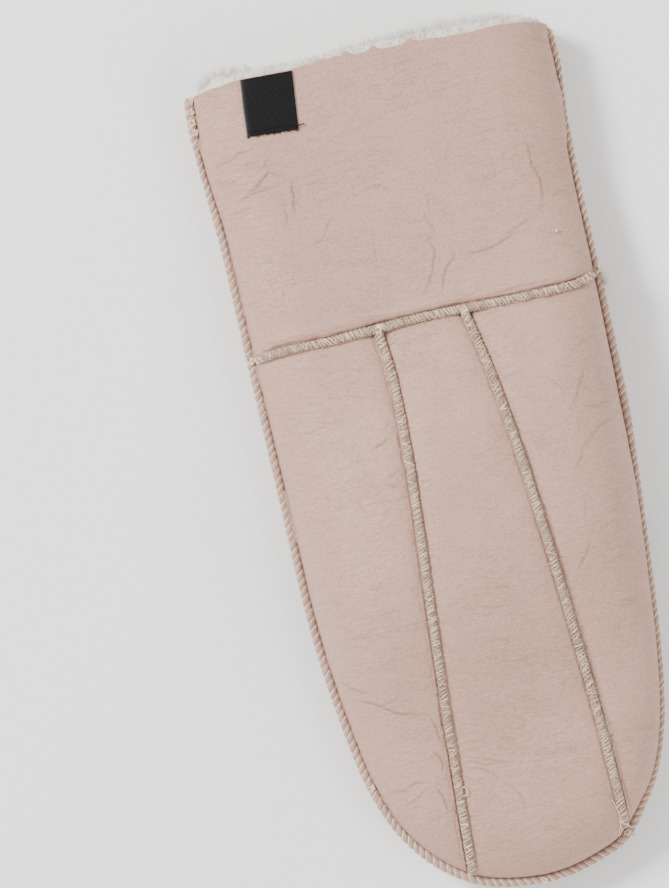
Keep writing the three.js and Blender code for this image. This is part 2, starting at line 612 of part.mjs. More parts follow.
/** Heights of the welts on the back and on the palm, where they keep under the side seam's welt. */
const onBack = (x, y) => backZ(x, y) + WELT_PROUD;
const onPalm = (x, y) => {
  const sunk = palmZ(x, y) + WELT_SUNK;
  return insideSeam(x, y) < SEAM_DIP_FADE ? Math.min(sunk, seamZ(x, y) - WELT_RADIUS - LIPS_APART) : sunk;
};

/** Welts that run from side to side, or from the cuff seam to the fingertips. */
const WELT_END = SEAM_INSET + 0.6;
const sideToSide = (seam, heightAt, steps) =>
  welt(seam, startAtSide(seam, 0, WELT_END), endAtSide(seam, 0, WELT_END), heightAt, steps);
const cuffToTip = (seam, steps) => welt(seam, offCuff(seam), endAtSide(seam, 0, WELT_END), onBack, steps);

const back = new THREE.Group();
back.add(
  piece('back_cuff', leatherOfBack(cuffPatch(0)), nappa),
  piece('back_panel_outer', backPanelOuter(), nappa),
  piece('back_panel_middle', backPanelMiddle(), nappa),
  piece('back_panel_inner', backPanelInner(), nappa),
  piece('cuff_welt_back', sideToSide(cuffSeam, onBack, 36), thread),
  piece('back_welt_outer', cuffToTip(outerSeam, 32), thread),
  piece('back_welt_inner', cuffToTip(innerSeam, 32), thread),
  piece('label', labelGeometry(), woven),
);

const gussetFoot = whereAxis(gussetSeam, 'y', GUSSET_FOOT[1] + SEAM_INSET);
const gussetWelt = welt(gussetSeam, offCuff(gussetSeam), gussetFoot, onPalm, 16);
const heelWeltEnd = whereAxis(heelSeam, 'x', HEEL_WELT_END_X);
const heelWelt = welt(heelSeam, startAtSide(heelSeam, 0, WELT_END), heelWeltEnd, onPalm, 24);
const palm = new THREE.Group();
palm.add(
  piece('palm_cuff', leatherOfPalm(cuffPatch(0)), nappa),
  piece('palm_heel', palmHeel(), nappa),
  piece('thumb_gusset', thumbGusset(), nappa),
  piece('palm_band', palmBand(), nappa),
  piece('palm_fingertip', palmFingertip(), nappa),
  piece('cuff_welt_palm', sideToSide(cuffSeam, onPalm, 36), thread),
  piece('gusset_welt', gussetWelt, thread),
  piece('heel_welt', heelWelt, thread),
  piece('fingertip_welt', sideToSide(fingertipSeam, onPalm, 28), thread),
);

const thumbWeltStart = startAtSide(thumbOutline, 0, SEAM_INSET);
const thumbWeltEnd = endAtSide(thumbOutline, 0, SEAM_INSET);
const thumb = new THREE.Group();
thumb.add(
  piece('thumb_under', thumbUnder(), nappa),
  piece('thumb_upper', thumbUpper(), nappa),
  piece('thumb_welt', welt(thumbOutline, thumbWeltStart, thumbWeltEnd, thumbSeamZ, 44), thread),
);

const sideWeltEnd = whereAxis(sideSeam, 'y', SIDE_WELT_TOP, NEAR_END, 1);
const trim = new THREE.Group();
trim.add(
  piece('side_welt', welt(sideSeam, 0, sideWeltEnd, seamZ, 92), thread),
  piece('fleece_back', fleece(backZ, 1, WOOL_UNDER_BACK, backLip), wool),
  piece('fleece_palm', fleece(palmZ, -1, WOOL_OVER_PALM, palmLip), wool),
);

const mitten = new THREE.Group();
mitten.add(back, palm, thumb, trim);

export default mitten;
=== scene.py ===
"""Dresses a sheepskin mitten: nappa panels, whip-stitched seams, the wool in the cuff and a bare label.

The shapes are worked out in millimetres on the mitten's plan: +X is the thumb's side, +Y points out of
the mouth and +Z is up. They become metres when a piece is made.
"""

from __future__ import annotations

import logging
import math
from dataclasses import dataclass, field
from enum import Enum
from typing import Callable, Sequence

import bpy
import numpy as np
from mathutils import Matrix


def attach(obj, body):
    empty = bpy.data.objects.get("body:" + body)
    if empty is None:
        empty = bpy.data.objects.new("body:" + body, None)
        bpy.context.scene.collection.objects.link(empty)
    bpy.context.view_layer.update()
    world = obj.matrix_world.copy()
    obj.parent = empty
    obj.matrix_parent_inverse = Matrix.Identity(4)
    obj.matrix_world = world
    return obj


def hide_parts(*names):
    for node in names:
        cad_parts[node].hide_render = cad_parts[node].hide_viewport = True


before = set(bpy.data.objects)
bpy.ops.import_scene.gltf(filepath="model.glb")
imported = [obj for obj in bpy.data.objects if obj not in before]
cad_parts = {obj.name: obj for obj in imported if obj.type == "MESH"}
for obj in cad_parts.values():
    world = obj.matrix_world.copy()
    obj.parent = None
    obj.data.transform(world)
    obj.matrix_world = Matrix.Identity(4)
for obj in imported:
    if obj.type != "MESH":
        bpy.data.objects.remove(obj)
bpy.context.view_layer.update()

LOG = logging.getLogger("mitten")
MM = 0.001
Array = np.ndarray
Rows = Sequence[Sequence[float]]
Pair = tuple[Array, Array]
HeightField = Callable[[Array, Array], Array]
Size = tuple[float, float]
Socket = bpy.types.NodeSocket
Material = bpy.types.Material
Colour = tuple[float, float, float, float]

# Skin and seams
LEATHER = 1.6
LIPS_APART = 0.35
THUMB_INSET = 1.3
SEAM_INSET = 0.75
ROLL_RADIUS = 1.5
WELT_RADIUS = 1.35
ROLL_STEP = 0.42

# How far inside the side seam the leather begins, by height in plan (y, inset)
INSET_LITTLE_FINGER = [(-140, 1.35), (90, 1.35), (108, 1), (118, 1), (124, 1.5), (140, 1.5)]
INSET_THUMB = [
    (-132, 1.3), (-118, 0.5), (-20, 0.5), (-9, 0.9), (8, 1.3), (49, 1.2), (58, 0.95), (95, 0.9), (100, 0.15),
    (113, 0.15), (118, 0.9), (131.5, 0.8), (134.5, 0.3), (140, 0.3),
]

# Radius of the side seam's roll, by share of the seam's length
SIDE_ROLL = [
    (0, 1.7), (0.02, 1.65), (0.03, 1.15), (0.045, 1.15), (0.07, 1.5), (0.45, 1.55), (0.565, 1.45),
    (0.6, 0.95), (0.745, 0.95), (0.765, 1.2), (0.79, 1.5), (0.855, 1.35), (0.87, 1.15), (0.937, 1.15),
    (0.947, 0.6), (0.966, 0.6), (0.975, 1.15), (0.992, 1.15), (1, 0.8),
]

# Heights of the lying mitten
TABLE_GAP = 0.05
LOWEST_INSIDE = 0.3
SIDE_SEAM_Z = 12.0
SIDE_SEAM_RISE = 5.5
TIP_SEAM_DROP = 1.5
BACK_CROWN = 1.6
BACK_RAISE = 10.5
RAISE_START, RAISE_END = 48.0, -14.0
BACK_ROUNDING, PALM_ROUNDING = 21.0, 16.0

# Cuff and mouth
CUFF_SEAM_Y = 49.0
MOUTH_Y = 139.6
MOUTH_DROP = 3.0
MOUTH_HALF_WIDTH = 62.0

# Thumb
THUMB_THICKNESS = 14.6
THUMB_CLEARANCE = 0.8
THUMB_SEAM_Z = 7.0
THUMB_WELT_DROP = 1.8
THUMB_SEAM_LEVEL, THUMB_SEAM_AT_ROOT = 30.0, 6.0
DRAPE_START, DRAPE_END = 8.0, 28.0
THUMB_ROUNDING = 8.0
THUMB_ROOT_X = 39.0

SIDE_SEAM = [
    (-61.6, 137), (-62.2, 118), (-60.2, 90), (-59.3, 50), (-58.3, 0), (-57.2, -46),
    (-53.7, -78), (-49.2, -101.5), (-42.6, -118), (-32, -131), (-20, -138.8), (-4, -142.3),
    (8, -142.1), (19, -139.4), (29.5, -134.8), (37.2, -126), (44.8, -114.1), (50, -99),
    (53.9, -76), (56.6, -46), (59.4, -2), (59.9, 40), (59.9, 95), (61.6, 120), (61, 137),
]
BACK_HEIGHT = [
    (142, 25), (95, 24.5), (49, 26), (0, 26), (-60, 25), (-110, 23), (-143, 21),
]
OUTER_SEAM = [(-15.9, 49), (-14.3, 30), (-15, 0), (-18.2, -50), (-20.4, -90), (-22.5, -137.9)]
INNER_SEAM = [(13.4, 49), (17.3, 30), (21.5, 0), (25.3, -40), (29.2, -90), (31, -133.6)]
GUSSET_FOOT = (-9, -31.6)
GUSSET_SEAM = [(-7.1, 49), (-7.6, 25), (-8.3, 7), GUSSET_FOOT]
HEEL_SEAM = [(-57.3, -44), (-39, -35.5), GUSSET_FOOT, (18, -33.5), (36, -35.8), (58.2, -30)]
FINGERTIP_SEAM = [(-49.2, -101.5), (-20, -86), (10, -69), (33.9, -56.8), (56.6, -46.5)]
PALM_CUFF_SEAM = [(-59.3, CUFF_SEAM_Y), (0, CUFF_SEAM_Y), (59.9, CUFF_SEAM_Y)]
BACK_CUFF_SEAM = [
    (-59.3, 46.4), (-49.2, 47.8), (-32, 47.9), (-19.4, 48.5), (2.3, 49.4), (22.6, 49.1), (43, 49.1),
    (53.5, 49.9), (57.5, 51.5), (60.3, 53.4),
]
THUMB_OUTLINE = [
    (59.9, 37.5), (34, 26), (4.3, 12.1), (-8.7, 5.1), (-20, -8), (-29.1, -23.2), (-36.5, -37),
    (-35.5, -46.5), (-28.2, -51.9), (-12.7, -53.9), (6, -47.5), (25.6, -39.7), (42, -34.6), (58.2, -30),
]
LABEL_CORNERS = {
    "top_left": (-43.4, 139.1),
    "top_right": (-25.8, 138.6),
    "low_right": (-27.7, 119.0),
    "low_left": (-45.0, 120.0),
}

# Bumps along the cut edge of the leather at the mouth
MOUTH_BUMPS = [
    # x, height, half width
    (-15.9, 0.5, 1.6), (-10.8, 0.6, 1.4), (-7.3, 2, 1.3), (2.1, 1.5, 1.3), (14.7, 1.3, 1.5),
    (31.5, -0.7, 9), (-25.8, -0.6, 6), (-33, -0.4, 5),
]

# Creases pressed into the back
BACK_CREASES = [
    # depth, half width, then x and y of each point
    (0.3, 0.3, 14.9, 80.2, 15.3, 78.5), (0.3, 0.3, -36.1, 22, -35.3, 20.6),
    (0.3, 0.3, 2, -104.6, 2.4, -105.6), (0.3, 0.3, 43.9, -70.5, 44.4, -71.6),
    (0.35, 0.35, -47, 51.9, -38, 51.6, -28, 52, -18, 52.6),
    (0.3, 0.35, 18, 53, 28, 52.3, 39, 52.6, 49, 53.6),
    (0.3, 0.55, -59, 112, -52.4, 113.3, -46.7, 115.2, -41.9, 116.4),
    (0.22, 0.5, -58.5, 105.6, -53.8, 106.4, -48.8, 107.2),
    (0.5, 0.6, -51.4, 101.4, -45.7, 102.9, -40.4, 106.7, -37.5, 109.7),
    (0.42, 0.6, -54.2, 98.4, -47.9, 101.1, -42.4, 101.7, -37, 101.9),
    (0.3, 0.5, -44.9, 106.7, -41.1, 110, -38.3, 112.5),
    (0.25, 0.5, -44.7, 103.6, -40.1, 106.2, -35.2, 103.8), (0.28, 0.55, -58, 95.7, -52.5, 96.2, -46.9, 97.3),
    (0.5, 0.55, -33.7, 104.8, -33.9, 99.5, -34.3, 94.2, -35, 89.9),
    (0.34, 0.55, -37.6, 94.9, -37.2, 91.2, -39.8, 86.5), (0.16, 0.5, -51.5, 86.3, -47.3, 85.6, -43.5, 83.8),
    (0.14, 0.5, -54.7, 81.5, -50.8, 80.3, -47.3, 78.6),
    (0.26, 0.6, -32.9, 78.7, -27.8, 82.1, -24.1, 86.7, -20.4, 87.2),
    (0.16, 0.6, -45.1, 76.8, -41.7, 78.4, -38.8, 80.8), (0.16, 0.5, -57, 121.5, -53.5, 120.6, -50, 120.7),
    (0.2, 0.5, 10.2, 90.1, 9.4, 86.3, 9.4, 82.2), (0.26, 0.55, 7.2, 84.5, 8.4, 79.8, 10.1, 74.9),
    (0.34, 0.65, 5.1, 78.7, 7.4, 72.8, 8.3, 68.6, 6.4, 64.1, 2.4, 57.8, 0.2, 53.8),
    (0.36, 0.65, 11.7, 71.9, 14.4, 67.8, 11.3, 64, 8.1, 57.5, 6.8, 53.3),
    (0.44, 0.6, 14.7, 67.5, 21.7, 66.7, 29.1, 67.8, 35, 70.1, 40.4, 70.3),
    (0.3, 0.55, 29.4, 69.1, 34.3, 71.1, 40.1, 73, 43.6, 75),
    (0.4, 0.55, 44.1, 104.4, 46, 96.8, 45.8, 91.5, 47.6, 85.3, 47.4, 81.3, 45.4, 77.3, 42.4, 73.5),
    (0.16, 0.55, 49.6, 84.6, 54.8, 87.9, 60.3, 88.4), (0.2, 0.6, 41.1, 70.1, 47.7, 67.4, 54.6, 65.5),
    (0.12, 0.6, 47.2, 64.4, 51.2, 63.1, 55.4, 60.8), (0.14, 0.6, 40.6, 58.6, 43.2, 59, 46.2, 59.7),
    (0.14, 0.5, -21.5, 120.1, -17.9, 121.1, -14.2, 120.8),
    (0.12, 0.5, 13.7, 111.3, 18.8, 111.2, 25.4, 110.1, 31.6, 107.1, 38, 105.1, 43.9, 107.2),
    (0.13, 0.5, 22.5, 95.6, 27.5, 96.1, 32.3, 95.3),
    (0.12, 0.5, -13.6, 98, -8.2, 96.5, -3.8, 94, -1.9, 90.9),
    (0.14, 0.6, -9.5, 83.6, -11.2, 77.7, -11.2, 69.6), (0.12, 0.5, 36.3, 84.7, 35.7, 81.4, 35.7, 77.6),
    (0.34, 0.7, -27.3, 9.9, -21.6, 11.1, -17.7, 13.3), (0.26, 0.55, -33.4, 6.8, -30.7, 6.7, -28.5, 7.1),
    (0.22, 0.7, -22.7, 15.1, -19.8, 16.2, -17.9, 18.8), (0.26, 0.8, -23.1, -1.2, -20.1, 0.2, -17.9, 2.5),
    (0.26, 0.6, -18.8, -8.2, -19, -5.8, -20.1, -4.6, -23.2, -2.9, -26.5, -2.5),
    (0.12, 0.5, -51.7, 19.9, -46.7, 19.5, -41.8, 18.4), (0.14, 0.5, -43.2, 11.9, -40.2, 13, -37.5, 13.1),
    (0.12, 0.5, -55.5, 8.4, -49.5, 6.1, -43.2, 2.4), (0.12, 0.5, -41.9, -1.3, -39.2, -1.2, -36.5, -1.8),
    (0.12, 0.5, -45.3, -23.7, -41.5, -24.9, -37.3, -24.8),
    (0.12, 0.5, -26.3, -30.5, -23.3, -29.4, -20.3, -27.7),
    (0.28, 0.55, -53.4, -63, -48.7, -66.8, -42.4, -70.5),
    (0.16, 0.5, -52.6, -67.9, -49.1, -67.2, -45.9, -68.3),
    (0.42, 0.6, -51.8, -70.4, -47.3, -71.7, -42.3, -73.6, -35.3, -77.9, -27, -79.6, -24.5, -78.9),
    (0.22, 0.55, -42.4, -74, -35.7, -72.7, -32.8, -69.8),
    (0.34, 0.6, -26.4, -80.2, -24.3, -85.3, -23.7, -91.7),
    (0.36, 0.65, -27.4, -92.5, -24.9, -95.4, -24.6, -101.7),
    (0.34, 0.6, -45.3, -102.9, -39.1, -103.4, -35.7, -101.8, -28.9, -103.2),
    (0.34, 0.6, -28.9, -103.2, -26.8, -108.4, -26, -115.6),
    (0.24, 0.6, -41.3, -110, -36, -107.2, -31.6, -105, -29.2, -103.5),
    (0.34, 0.5, -19, -99, -13.9, -99.3, -8.8, -101.2, -3.1, -100.1),
    (0.3, 0.5, -19.1, -101.4, -13.6, -101.4, -8, -104.9, -6.1, -107.2),
    (0.24, 0.5, -18.6, -103, -15.2, -105.3, -10.6, -105.5),
    (0.24, 0.5, -19.8, -97.3, -15.3, -97.6, -10.7, -98.8, -4.2, -101.3, 1, -103.3),
    (0.22, 0.55, -6.1, -107.2, -3.3, -110, -1.3, -113.8, -1.6, -120.8),
    (0.18, 0.5, -17.9, -92.2, -11.6, -92.6, -5.8, -94.4),
    (0.18, 0.5, -19.1, -94.3, -13.8, -95.2, -8.7, -96.9), (0.15, 0.5, -20.1, -87.7, -11, -90, -1.6, -93.3),
    (0.14, 0.5, 1.4, -68, 6.8, -68.9, 12.2, -69.1), (0.13, 0.5, -13, -68.8, -5.2, -70.8, 2.9, -71.8),
    (0.12, 0.6, 13.6, -87.9, 19.8, -81.3, 23, -77.3), (0.14, 0.5, 42.7, -58.7, 47.2, -58.1, 51.7, -56.6),
    (0.14, 0.5, 41.8, -70.2, 43.2, -70.5, 44.7, -71.3), (0.14, 0.5, 32, -109, 34.6, -109.7, 37.3, -109.5),
    (0.24, 0.55, 30.9, 23.3, 35.7, 20.7, 39.5, 16.8, 40, 12.1), (0.2, 0.6, 43.6, 25.2, 48.3, 29.5, 56.5, 32),
    (0.34, 0.6, 50.7, 22.9, 46.7, 18.4, 42.1, 10.9, 40, 6.7), (0.22, 0.5, 49.2, 20.9, 47, 18, 44.6, 15.8),
    (0.22, 0.55, 56.3, 9.4, 49.3, 8.6, 43.3, 9.9), (0.24, 0.6, 56.7, 4, 50, 1.6, 44.5, -2.6, 40.4, -7.9),
    (0.28, 0.55, 42.8, -3.8, 41.1, -8, 36.8, -11.7), (0.16, 0.5, 42.8, 6.9, 42.6, 3.2, 42.3, -0.6),
    (0.16, 0.6, 40.4, -20.2, 39, -24.6, 38.6, -29), (0.28, 0.7, 39.6, -33, 36.4, -39.2, 31.7, -45.2),
    (0.14, 0.5, 30, 1.2, 32.9, 1.2, 35.9, 0), (0.16, 0.6, 42.3, -56.6, 49.9, -56.7, 54.9, -54.7),
]


def smoothstep(start: float, end: float, value: Array) -> Array:
    """A smooth rise from 0 at start to 1 at end, either of which may be the larger."""
    t = np.clip((value - start) / (end - start), 0.0, 1.0)
    return t * t * (3.0 - 2.0 * t)


def pillow(t: Array) -> Array:
    """A quarter of an ellipse: steep at the seam, level one rounding further in."""
    return np.sqrt(1.0 - (1.0 - np.clip(t, 0.0, 1.0)) ** 2)


def bell(value: Array, half_width: float) -> Array:
    """A bell curve, 1 at zero."""
    return np.exp(-((value / half_width) ** 2))


def unit(vectors: Array) -> Array:
    """Vectors of length 1."""
    return vectors / np.maximum(np.linalg.norm(vectors, axis=-1, keepdims=True), 1e-9)


class SoftNoise:
    """Smooth noise over the plane, the same on each run."""

    CELLS = 256

    def __init__(self, seed: int) -> None:
        """Draws the lattice.

        Args:
            seed: Number that picks the pattern.
        """
        self.lattice = np.random.default_rng(seed).uniform(-1.0, 1.0, (self.CELLS, self.CELLS))

    def at(self, x: Array, y: Array, size: float) -> Array:
        """Reads the noise.

        Args:
            x, y: Places in plan.
            size: Size of its lumps in millimetres.

        Returns:
            Values between -1 and 1.
        """
        u, v = (0.8 * x - 0.6 * y) / size, (0.6 * x + 0.8 * y) / size
        i, j = np.floor(u).astype(int), np.floor(v).astype(int)
        s, t = u - i, v - j
        s, t = s * s * (3 - 2 * s), t * t * (3 - 2 * t)
        n = self.CELLS
        a, b = self.lattice[i % n, j % n], self.lattice[(i + 1) % n, j % n]
        c, d = self.lattice[i % n, (j + 1) % n], self.lattice[(i + 1) % n, (j + 1) % n]
        return (a * (1 - s) + b * s) * (1 - t) + (c * (1 - s) + d * s) * t

    def layered(self, x: Array, y: Array, size: float, layers: int = 3) -> Array:
        """Adds layers of noise, each half the size and half the strength of the one before."""
        parts = (self.at(x + 31.7 * k, y - 17.3 * k, size * 0.5**k) * 0.5**k for k in range(layers))
        return sum(parts) / (2.0 - 0.5 ** (layers - 1))


class PlanCurve:
    """A smooth line on the plan of the mitten, run along by its length in millimetres."""

    STEPS = 40

    def __init__(self, rows: Rows) -> None:
        """Lays the line through the rows.

        Args:
            rows: Points (x, y) that the line goes through.
        """
        self.points = self._through(np.array(rows, float))
        legs = np.linalg.norm(np.diff(self.points, axis=0), axis=1)
        self.runs = np.concatenate([[0.0], np.cumsum(legs)])
        self.length = float(self.runs[-1])
        self.slopes = unit(np.gradient(self.points, axis=0))

    def _through(self, rows: Array) -> Array:
        """Samples a centripetal spline.

        Args:
            rows: Points (x, y) that it goes through.

        Returns:
            Its points.
        """
        ends = np.vstack([2 * rows[0] - rows[1], rows, 2 * rows[-1] - rows[-2]])
        t = np.linspace(0, 1, self.STEPS, endpoint=False)[:, None]
        spans = []
        for a, b, c, d in zip(ends, ends[1:], ends[2:], ends[3:]):
            ab, bc, cd = (max(np.linalg.norm(q - p) ** 0.5, 1e-3) for p, q in ((a, b), (b, c), (c, d)))
            leave = ((b - a) / ab - (c - a) / (ab + bc) + (c - b) / bc) * bc
            arrive = ((c - b) / bc - (d - b) / (bc + cd) + (d - c) / cd) * bc
            bend = 3 * (c - b) - 2 * leave - arrive
            twist = 2 * (b - c) + leave + arrive
            spans.append(b + leave * t + bend * t**2 + twist * t**3)
        return np.vstack([*spans, rows[-1:]])

    def at(self, run: Array) -> Array:
        """Points of the line at these lengths along it."""
        return np.stack([np.interp(run, self.runs, self.points[:, k]) for k in (0, 1)], -1)

    def along(self, run: Array) -> Array:
        """Unit directions of the line at these lengths along it."""
        return unit(np.stack([np.interp(run, self.runs, self.slopes[:, k]) for k in (0, 1)], -1))

    def beside(self, run: Array, aside: float) -> Array:
        """Points moved aside from the line, to the left of its direction if aside is positive."""
        d = self.along(run)
        return self.at(run) + aside * np.stack([-d[..., 1], d[..., 0]], -1)

    def nearest(self, point: Sequence[float]) -> float:
        """Length along the line to its point nearest to this one."""
        return float(self.runs[np.argmin(np.linalg.norm(self.points - np.array(point), axis=1))])

    def run_where(self, test: Callable[[Array], Array], start: float, end: float) -> float:
        """Length along the line where a test first turns positive.

        Args:
            test: Gives a number for each length along the line.
            start: Share of the line at which the search begins.
            end: Share of the line at which it ends, which may be before the start.

        Returns:
            The length along the line, or the search's end if the test never turns positive.
        """
        runs = np.linspace(start, end, 1500) * self.length
        hits = np.nonzero(test(runs) > 0)[0]
        return float(runs[hits[0]] if len(hits) else runs[-1])

    def distance(self, x: Array, y: Array, step: float = 2.0) -> Array:
        """Measures how far places lie from the line.

        Args:
            x, y: Places in plan.
            step: Length of the straight pieces that the line is cut into.

        Returns:
            Distances, positive to the left of its direction.
        """
        runs = np.linspace(0, self.length, max(2, int(self.length / step) + 1))
        chain = self.at(runs)
        best, side = np.full(x.shape, 1e18), np.ones(x.shape)
        for (ax, ay), (bx, by) in zip(chain, chain[1:]):
            dx, dy = bx - ax, by - ay
            t = np.clip(((x - ax) * dx + (y - ay) * dy) / (dx * dx + dy * dy), 0, 1)
            gap = (x - ax - t * dx) ** 2 + (y - ay - t * dy) ** 2
            nearer = gap < best
            best = np.where(nearer, gap, best)
            side = np.where(nearer, np.sign(dx * (y - ay) - dy * (x - ax)), side)
        return np.sqrt(best) * side


class Crease:
    """A crease pressed into the leather, with a soft ridge on both sides."""

    def __init__(self, depth: float, half_width: float, points: Rows) -> None:
        """Keeps the crease's size and its line."""
        self.depth, self.half_width = depth, half_width
        self.line = PlanCurve(points)

    def carve(self, x: Array, y: Array, waver: Array) -> Pair:
        """Works out the crease at plan points.

        Args:
            x, y: Places in plan.
            waver: Sideways shift of the line at each place, in millimetres.

        Returns:
            The change of height in millimetres, and the painted shade in the crease's valley, 0 to 1.
        """
        relief, shade = np.zeros(x.shape), np.zeros(x.shape)
        reach = 5 * self.half_width + 1.0
        low, high = self.line.points.min(0) - reach, self.line.points.max(0) + reach
        near = (x > low[0]) & (x < high[0]) & (y > low[1]) & (y < high[1])
        if not near.any():
            return relief, shade
        px, py = x[near] + waver[near], y[near] - waver[near]
        gap = np.abs(self.line.distance(px, py, 0.8))
        ends = [np.hypot(px - e[0], py - e[1]) for e in (self.line.points[0], self.line.points[-1])]
        fade = smoothstep(0, 0.35 * self.line.length, np.minimum(*ends))
        narrow = 0.54 * self.half_width
        valley = bell(gap, narrow) * fade
        ridge = bell(gap - 2.6 * narrow, 1.5 * narrow) * fade
        relief[near] = 0.8 * self.depth * (0.45 * ridge - valley)
        # Painted shade in the crease's valley, stronger for deeper creases
        shade[near] = 0.8 * valley * min(1.0, self.depth / 0.45)
        return relief, shade


class MittenForm:
    """The mitten's outer faces as heights over its plan, and the lines of its seams."""

    def __init__(self) -> None:
        """Lays out the seams and draws the noise that gives the leather its unevenness."""
        self.side = PlanCurve(SIDE_SEAM)
        self.outer = PlanCurve(OUTER_SEAM)
        self.inner = PlanCurve(INNER_SEAM)
        self.gusset = PlanCurve(GUSSET_SEAM)
        self.heel = PlanCurve(HEEL_SEAM)
        self.fingertip = PlanCurve(FINGERTIP_SEAM)
        self.back_cuff, self.palm_cuff = PlanCurve(BACK_CUFF_SEAM), PlanCurve(PALM_CUFF_SEAM)
        self.thumb = PlanCurve(THUMB_OUTLINE)
        self.creases = [Crease(row[0], row[1], np.reshape(row[2:], (-1, 2))) for row in BACK_CREASES]
        self.broad, self.fine, self.waver = SoftNoise(11), SoftNoise(12), SoftNoise(13)
        self.thumb_polygon = self.thumb.at(np.linspace(0, self.thumb.length, 161))

    def to_side(self, x: Array, y: Array) -> Array:
        """Distance in plan to the side seam."""
        return np.abs(self.side.distance(x, y))

    def outside_thumb(self, x: Array, y: Array) -> Array:
        """Measures how far places lie outside the thumb.

        Args:
            x, y: Places in plan.

        Returns:
            Distances, negative within it.
        """
        inside = np.zeros(x.shape, bool)
        for (ax, ay), (bx, by) in zip(self.thumb_polygon, np.roll(self.thumb_polygon, -1, axis=0)):
            spans = (ay > y) != (by > y)
            left = x < (bx - ax) * (y - ay) / (by - ay if by != ay else 1e-9) + ax
            inside ^= spans & left
        gap = np.abs(self.thumb.distance(x, y))
        return np.where(inside, -gap, gap)

    def inset(self, x: Array, y: Array) -> Array:
        """How far inside the side seam the leather begins beside a place."""
        left, right = (np.interp(y, *zip(*rows)) for rows in (INSET_LITTLE_FINGER, INSET_THUMB))
        return np.where(x < 0, left, right)

    def inside(self, x: Array, y: Array) -> Array:
        """Distance in plan inside the leather's edge at the side seam."""
        return self.to_side(x, y) - self.inset(x, y)

    def seam_z(self, x: Array, y: Array) -> Array:
        """Height of the side seam: higher beside the thumb, lower at the fingertips."""
        beside = smoothstep(112, 40, y) * smoothstep(-112, -30, y) * smoothstep(0, 50, x)
        return SIDE_SEAM_Z + SIDE_SEAM_RISE * beside - TIP_SEAM_DROP * smoothstep(-90, -140, y)

    def mouth_line(self, x: Array) -> Array:
        """The even line that the mouth's edge follows."""
        return MOUTH_Y - MOUTH_DROP * np.abs(x / MOUTH_HALF_WIDTH) ** 6

    def mouth_y(self, x: Array) -> Array:
        """The cut edge of the leather at the mouth, with its nicks."""
        edge = sum((height * bell(x - at, width) for at, height, width in MOUTH_BUMPS), self.mouth_line(x))
        return edge + 0.16 * self.fine.at(x, 0 * x, 1.4) + 0.2 * self.fine.at(x, 0 * x + 50, 5.0)

    def smooth_back(self, x: Array, y: Array) -> Array:
        """Height of the back without its seams' valleys and its creases."""
        return self._back_over(x, y, self.inside(x, y))

    def _back_over(self, x: Array, y: Array, inside: Array) -> Array:
        """Height of the smooth back where the distance inside its edge is known.

        Args:
            x, y: Places in plan.
            inside: Distance inside the edge of the leather.

        Returns:
            The heights.
        """
        low = self.seam_z(x, y) + LIPS_APART
        ys, zs = zip(*BACK_HEIGHT)
        rows = np.interp(y, ys[::-1], zs[::-1])
        crown = BACK_CROWN * (1 - (x / MOUTH_HALF_WIDTH) ** 2)
        raise_ = BACK_RAISE * smoothstep(RAISE_START, RAISE_END, self.outside_thumb(x, y))
        return low + (rows + crown + raise_ - low) * pillow(inside / BACK_ROUNDING)

    def back(self, x: Array, y: Array) -> Pair:
        """Works out the outer face of the back.

        Args:
            x, y: Places in plan.

        Returns:
            Heights in millimetres, and the painted shade at each place, 0 to 1: in creases, in the fold at
            the cuff seam, in the gutters beside the welts and along the leather's edge at the side seam.
        """
        inside = self.inside(x, y)
        z = self._back_over(x, y, inside)
        inland = smoothstep(0.5, 9, inside)
        cuff, outer, inner = (s.distance(x, y) for s in (self.back_cuff, self.outer, self.inner))
        below = y < CUFF_SEAM_Y + 6
        outer, inner = np.where(below, outer, 99.0), np.where(below, inner, 99.0)
        z = z - 1.25 * bell(np.minimum(np.abs(outer), np.abs(inner)), 4.6) * inland
        z = z - np.where(cuff > 0, 0.5 * bell(cuff, 5.0), 1.1 * bell(cuff, 4.5)) * inland
        # The cuff's leather folds over the seam, and the crease lies close along the welts
        stray = 0.22 * self.fine.at(x, y, 3.3) + 0.14 * self.waver.at(x, y, 1.3)
        uneven = np.clip(0.6 + 0.75 * self.waver.at(x + 60, y, 5.0), 0, 1)
        fold = 0.9 * bell(cuff - 3.8, 1.9) - 1.6 * bell(cuff - 1.4 - stray, 0.42)
        # Painted shade in the fold's crease along the cuff seam, uneven along it
        shade = 0.85 * uneven * bell(cuff - 1.5 - stray, 0.36)
        z = z + fold * inland
        gutters = [
            # distance off the seam, half width, depth, strength of the painted shade in the gutter
            (cuff + 1.55 + stray, 0.26, 0.5, 0.30), (cuff + 2.5 - stray, 0.22, 0.2, 0.25),
            (outer + 1.60 + stray, 0.28, 0.8, 0.65), (outer + 2.7 - 2 * stray, 0.22, 0.25, 0.3),
            (outer - 1.50 - stray, 0.26, 0.5, 0.30), (inner + 1.50 + stray, 0.26, 0.5, 0.35),
            (inner - 1.55 - stray, 0.28, 0.7, 0.50), (inner - 2.6 + 2 * stray, 0.22, 0.25, 0.25),
        ]
        # Each gutter is a groove with painted shade along it
        for gap, half_width, depth, dark in gutters:
            line = bell(gap, half_width)
            z = z - depth * line
            shade = np.maximum(shade, dark * uneven * line)
        # Painted shade: a broken dark line along the leather's edge beside the side seam's roll
        broken = np.clip(0.35 + 0.5 * self.fine.at(x, y, 1.5), 0, 0.7)
        shade = np.maximum(shade, broken * smoothstep(0.45, 0.1, inside))
        to_seam = np.abs([cuff, outer, inner]).min(axis=0)
        relief, creased = self._wrinkles(x, y, to_seam)
        pucker = 0.22 * self.fine.layered(x, y, 2.3, 2) * bell(inside - 1.2, 2.2)
        z = z + pucker + relief * smoothstep(0.0, 4.0, inside)
        return z, np.maximum(shade, creased * smoothstep(0.3, 1.5, inside))

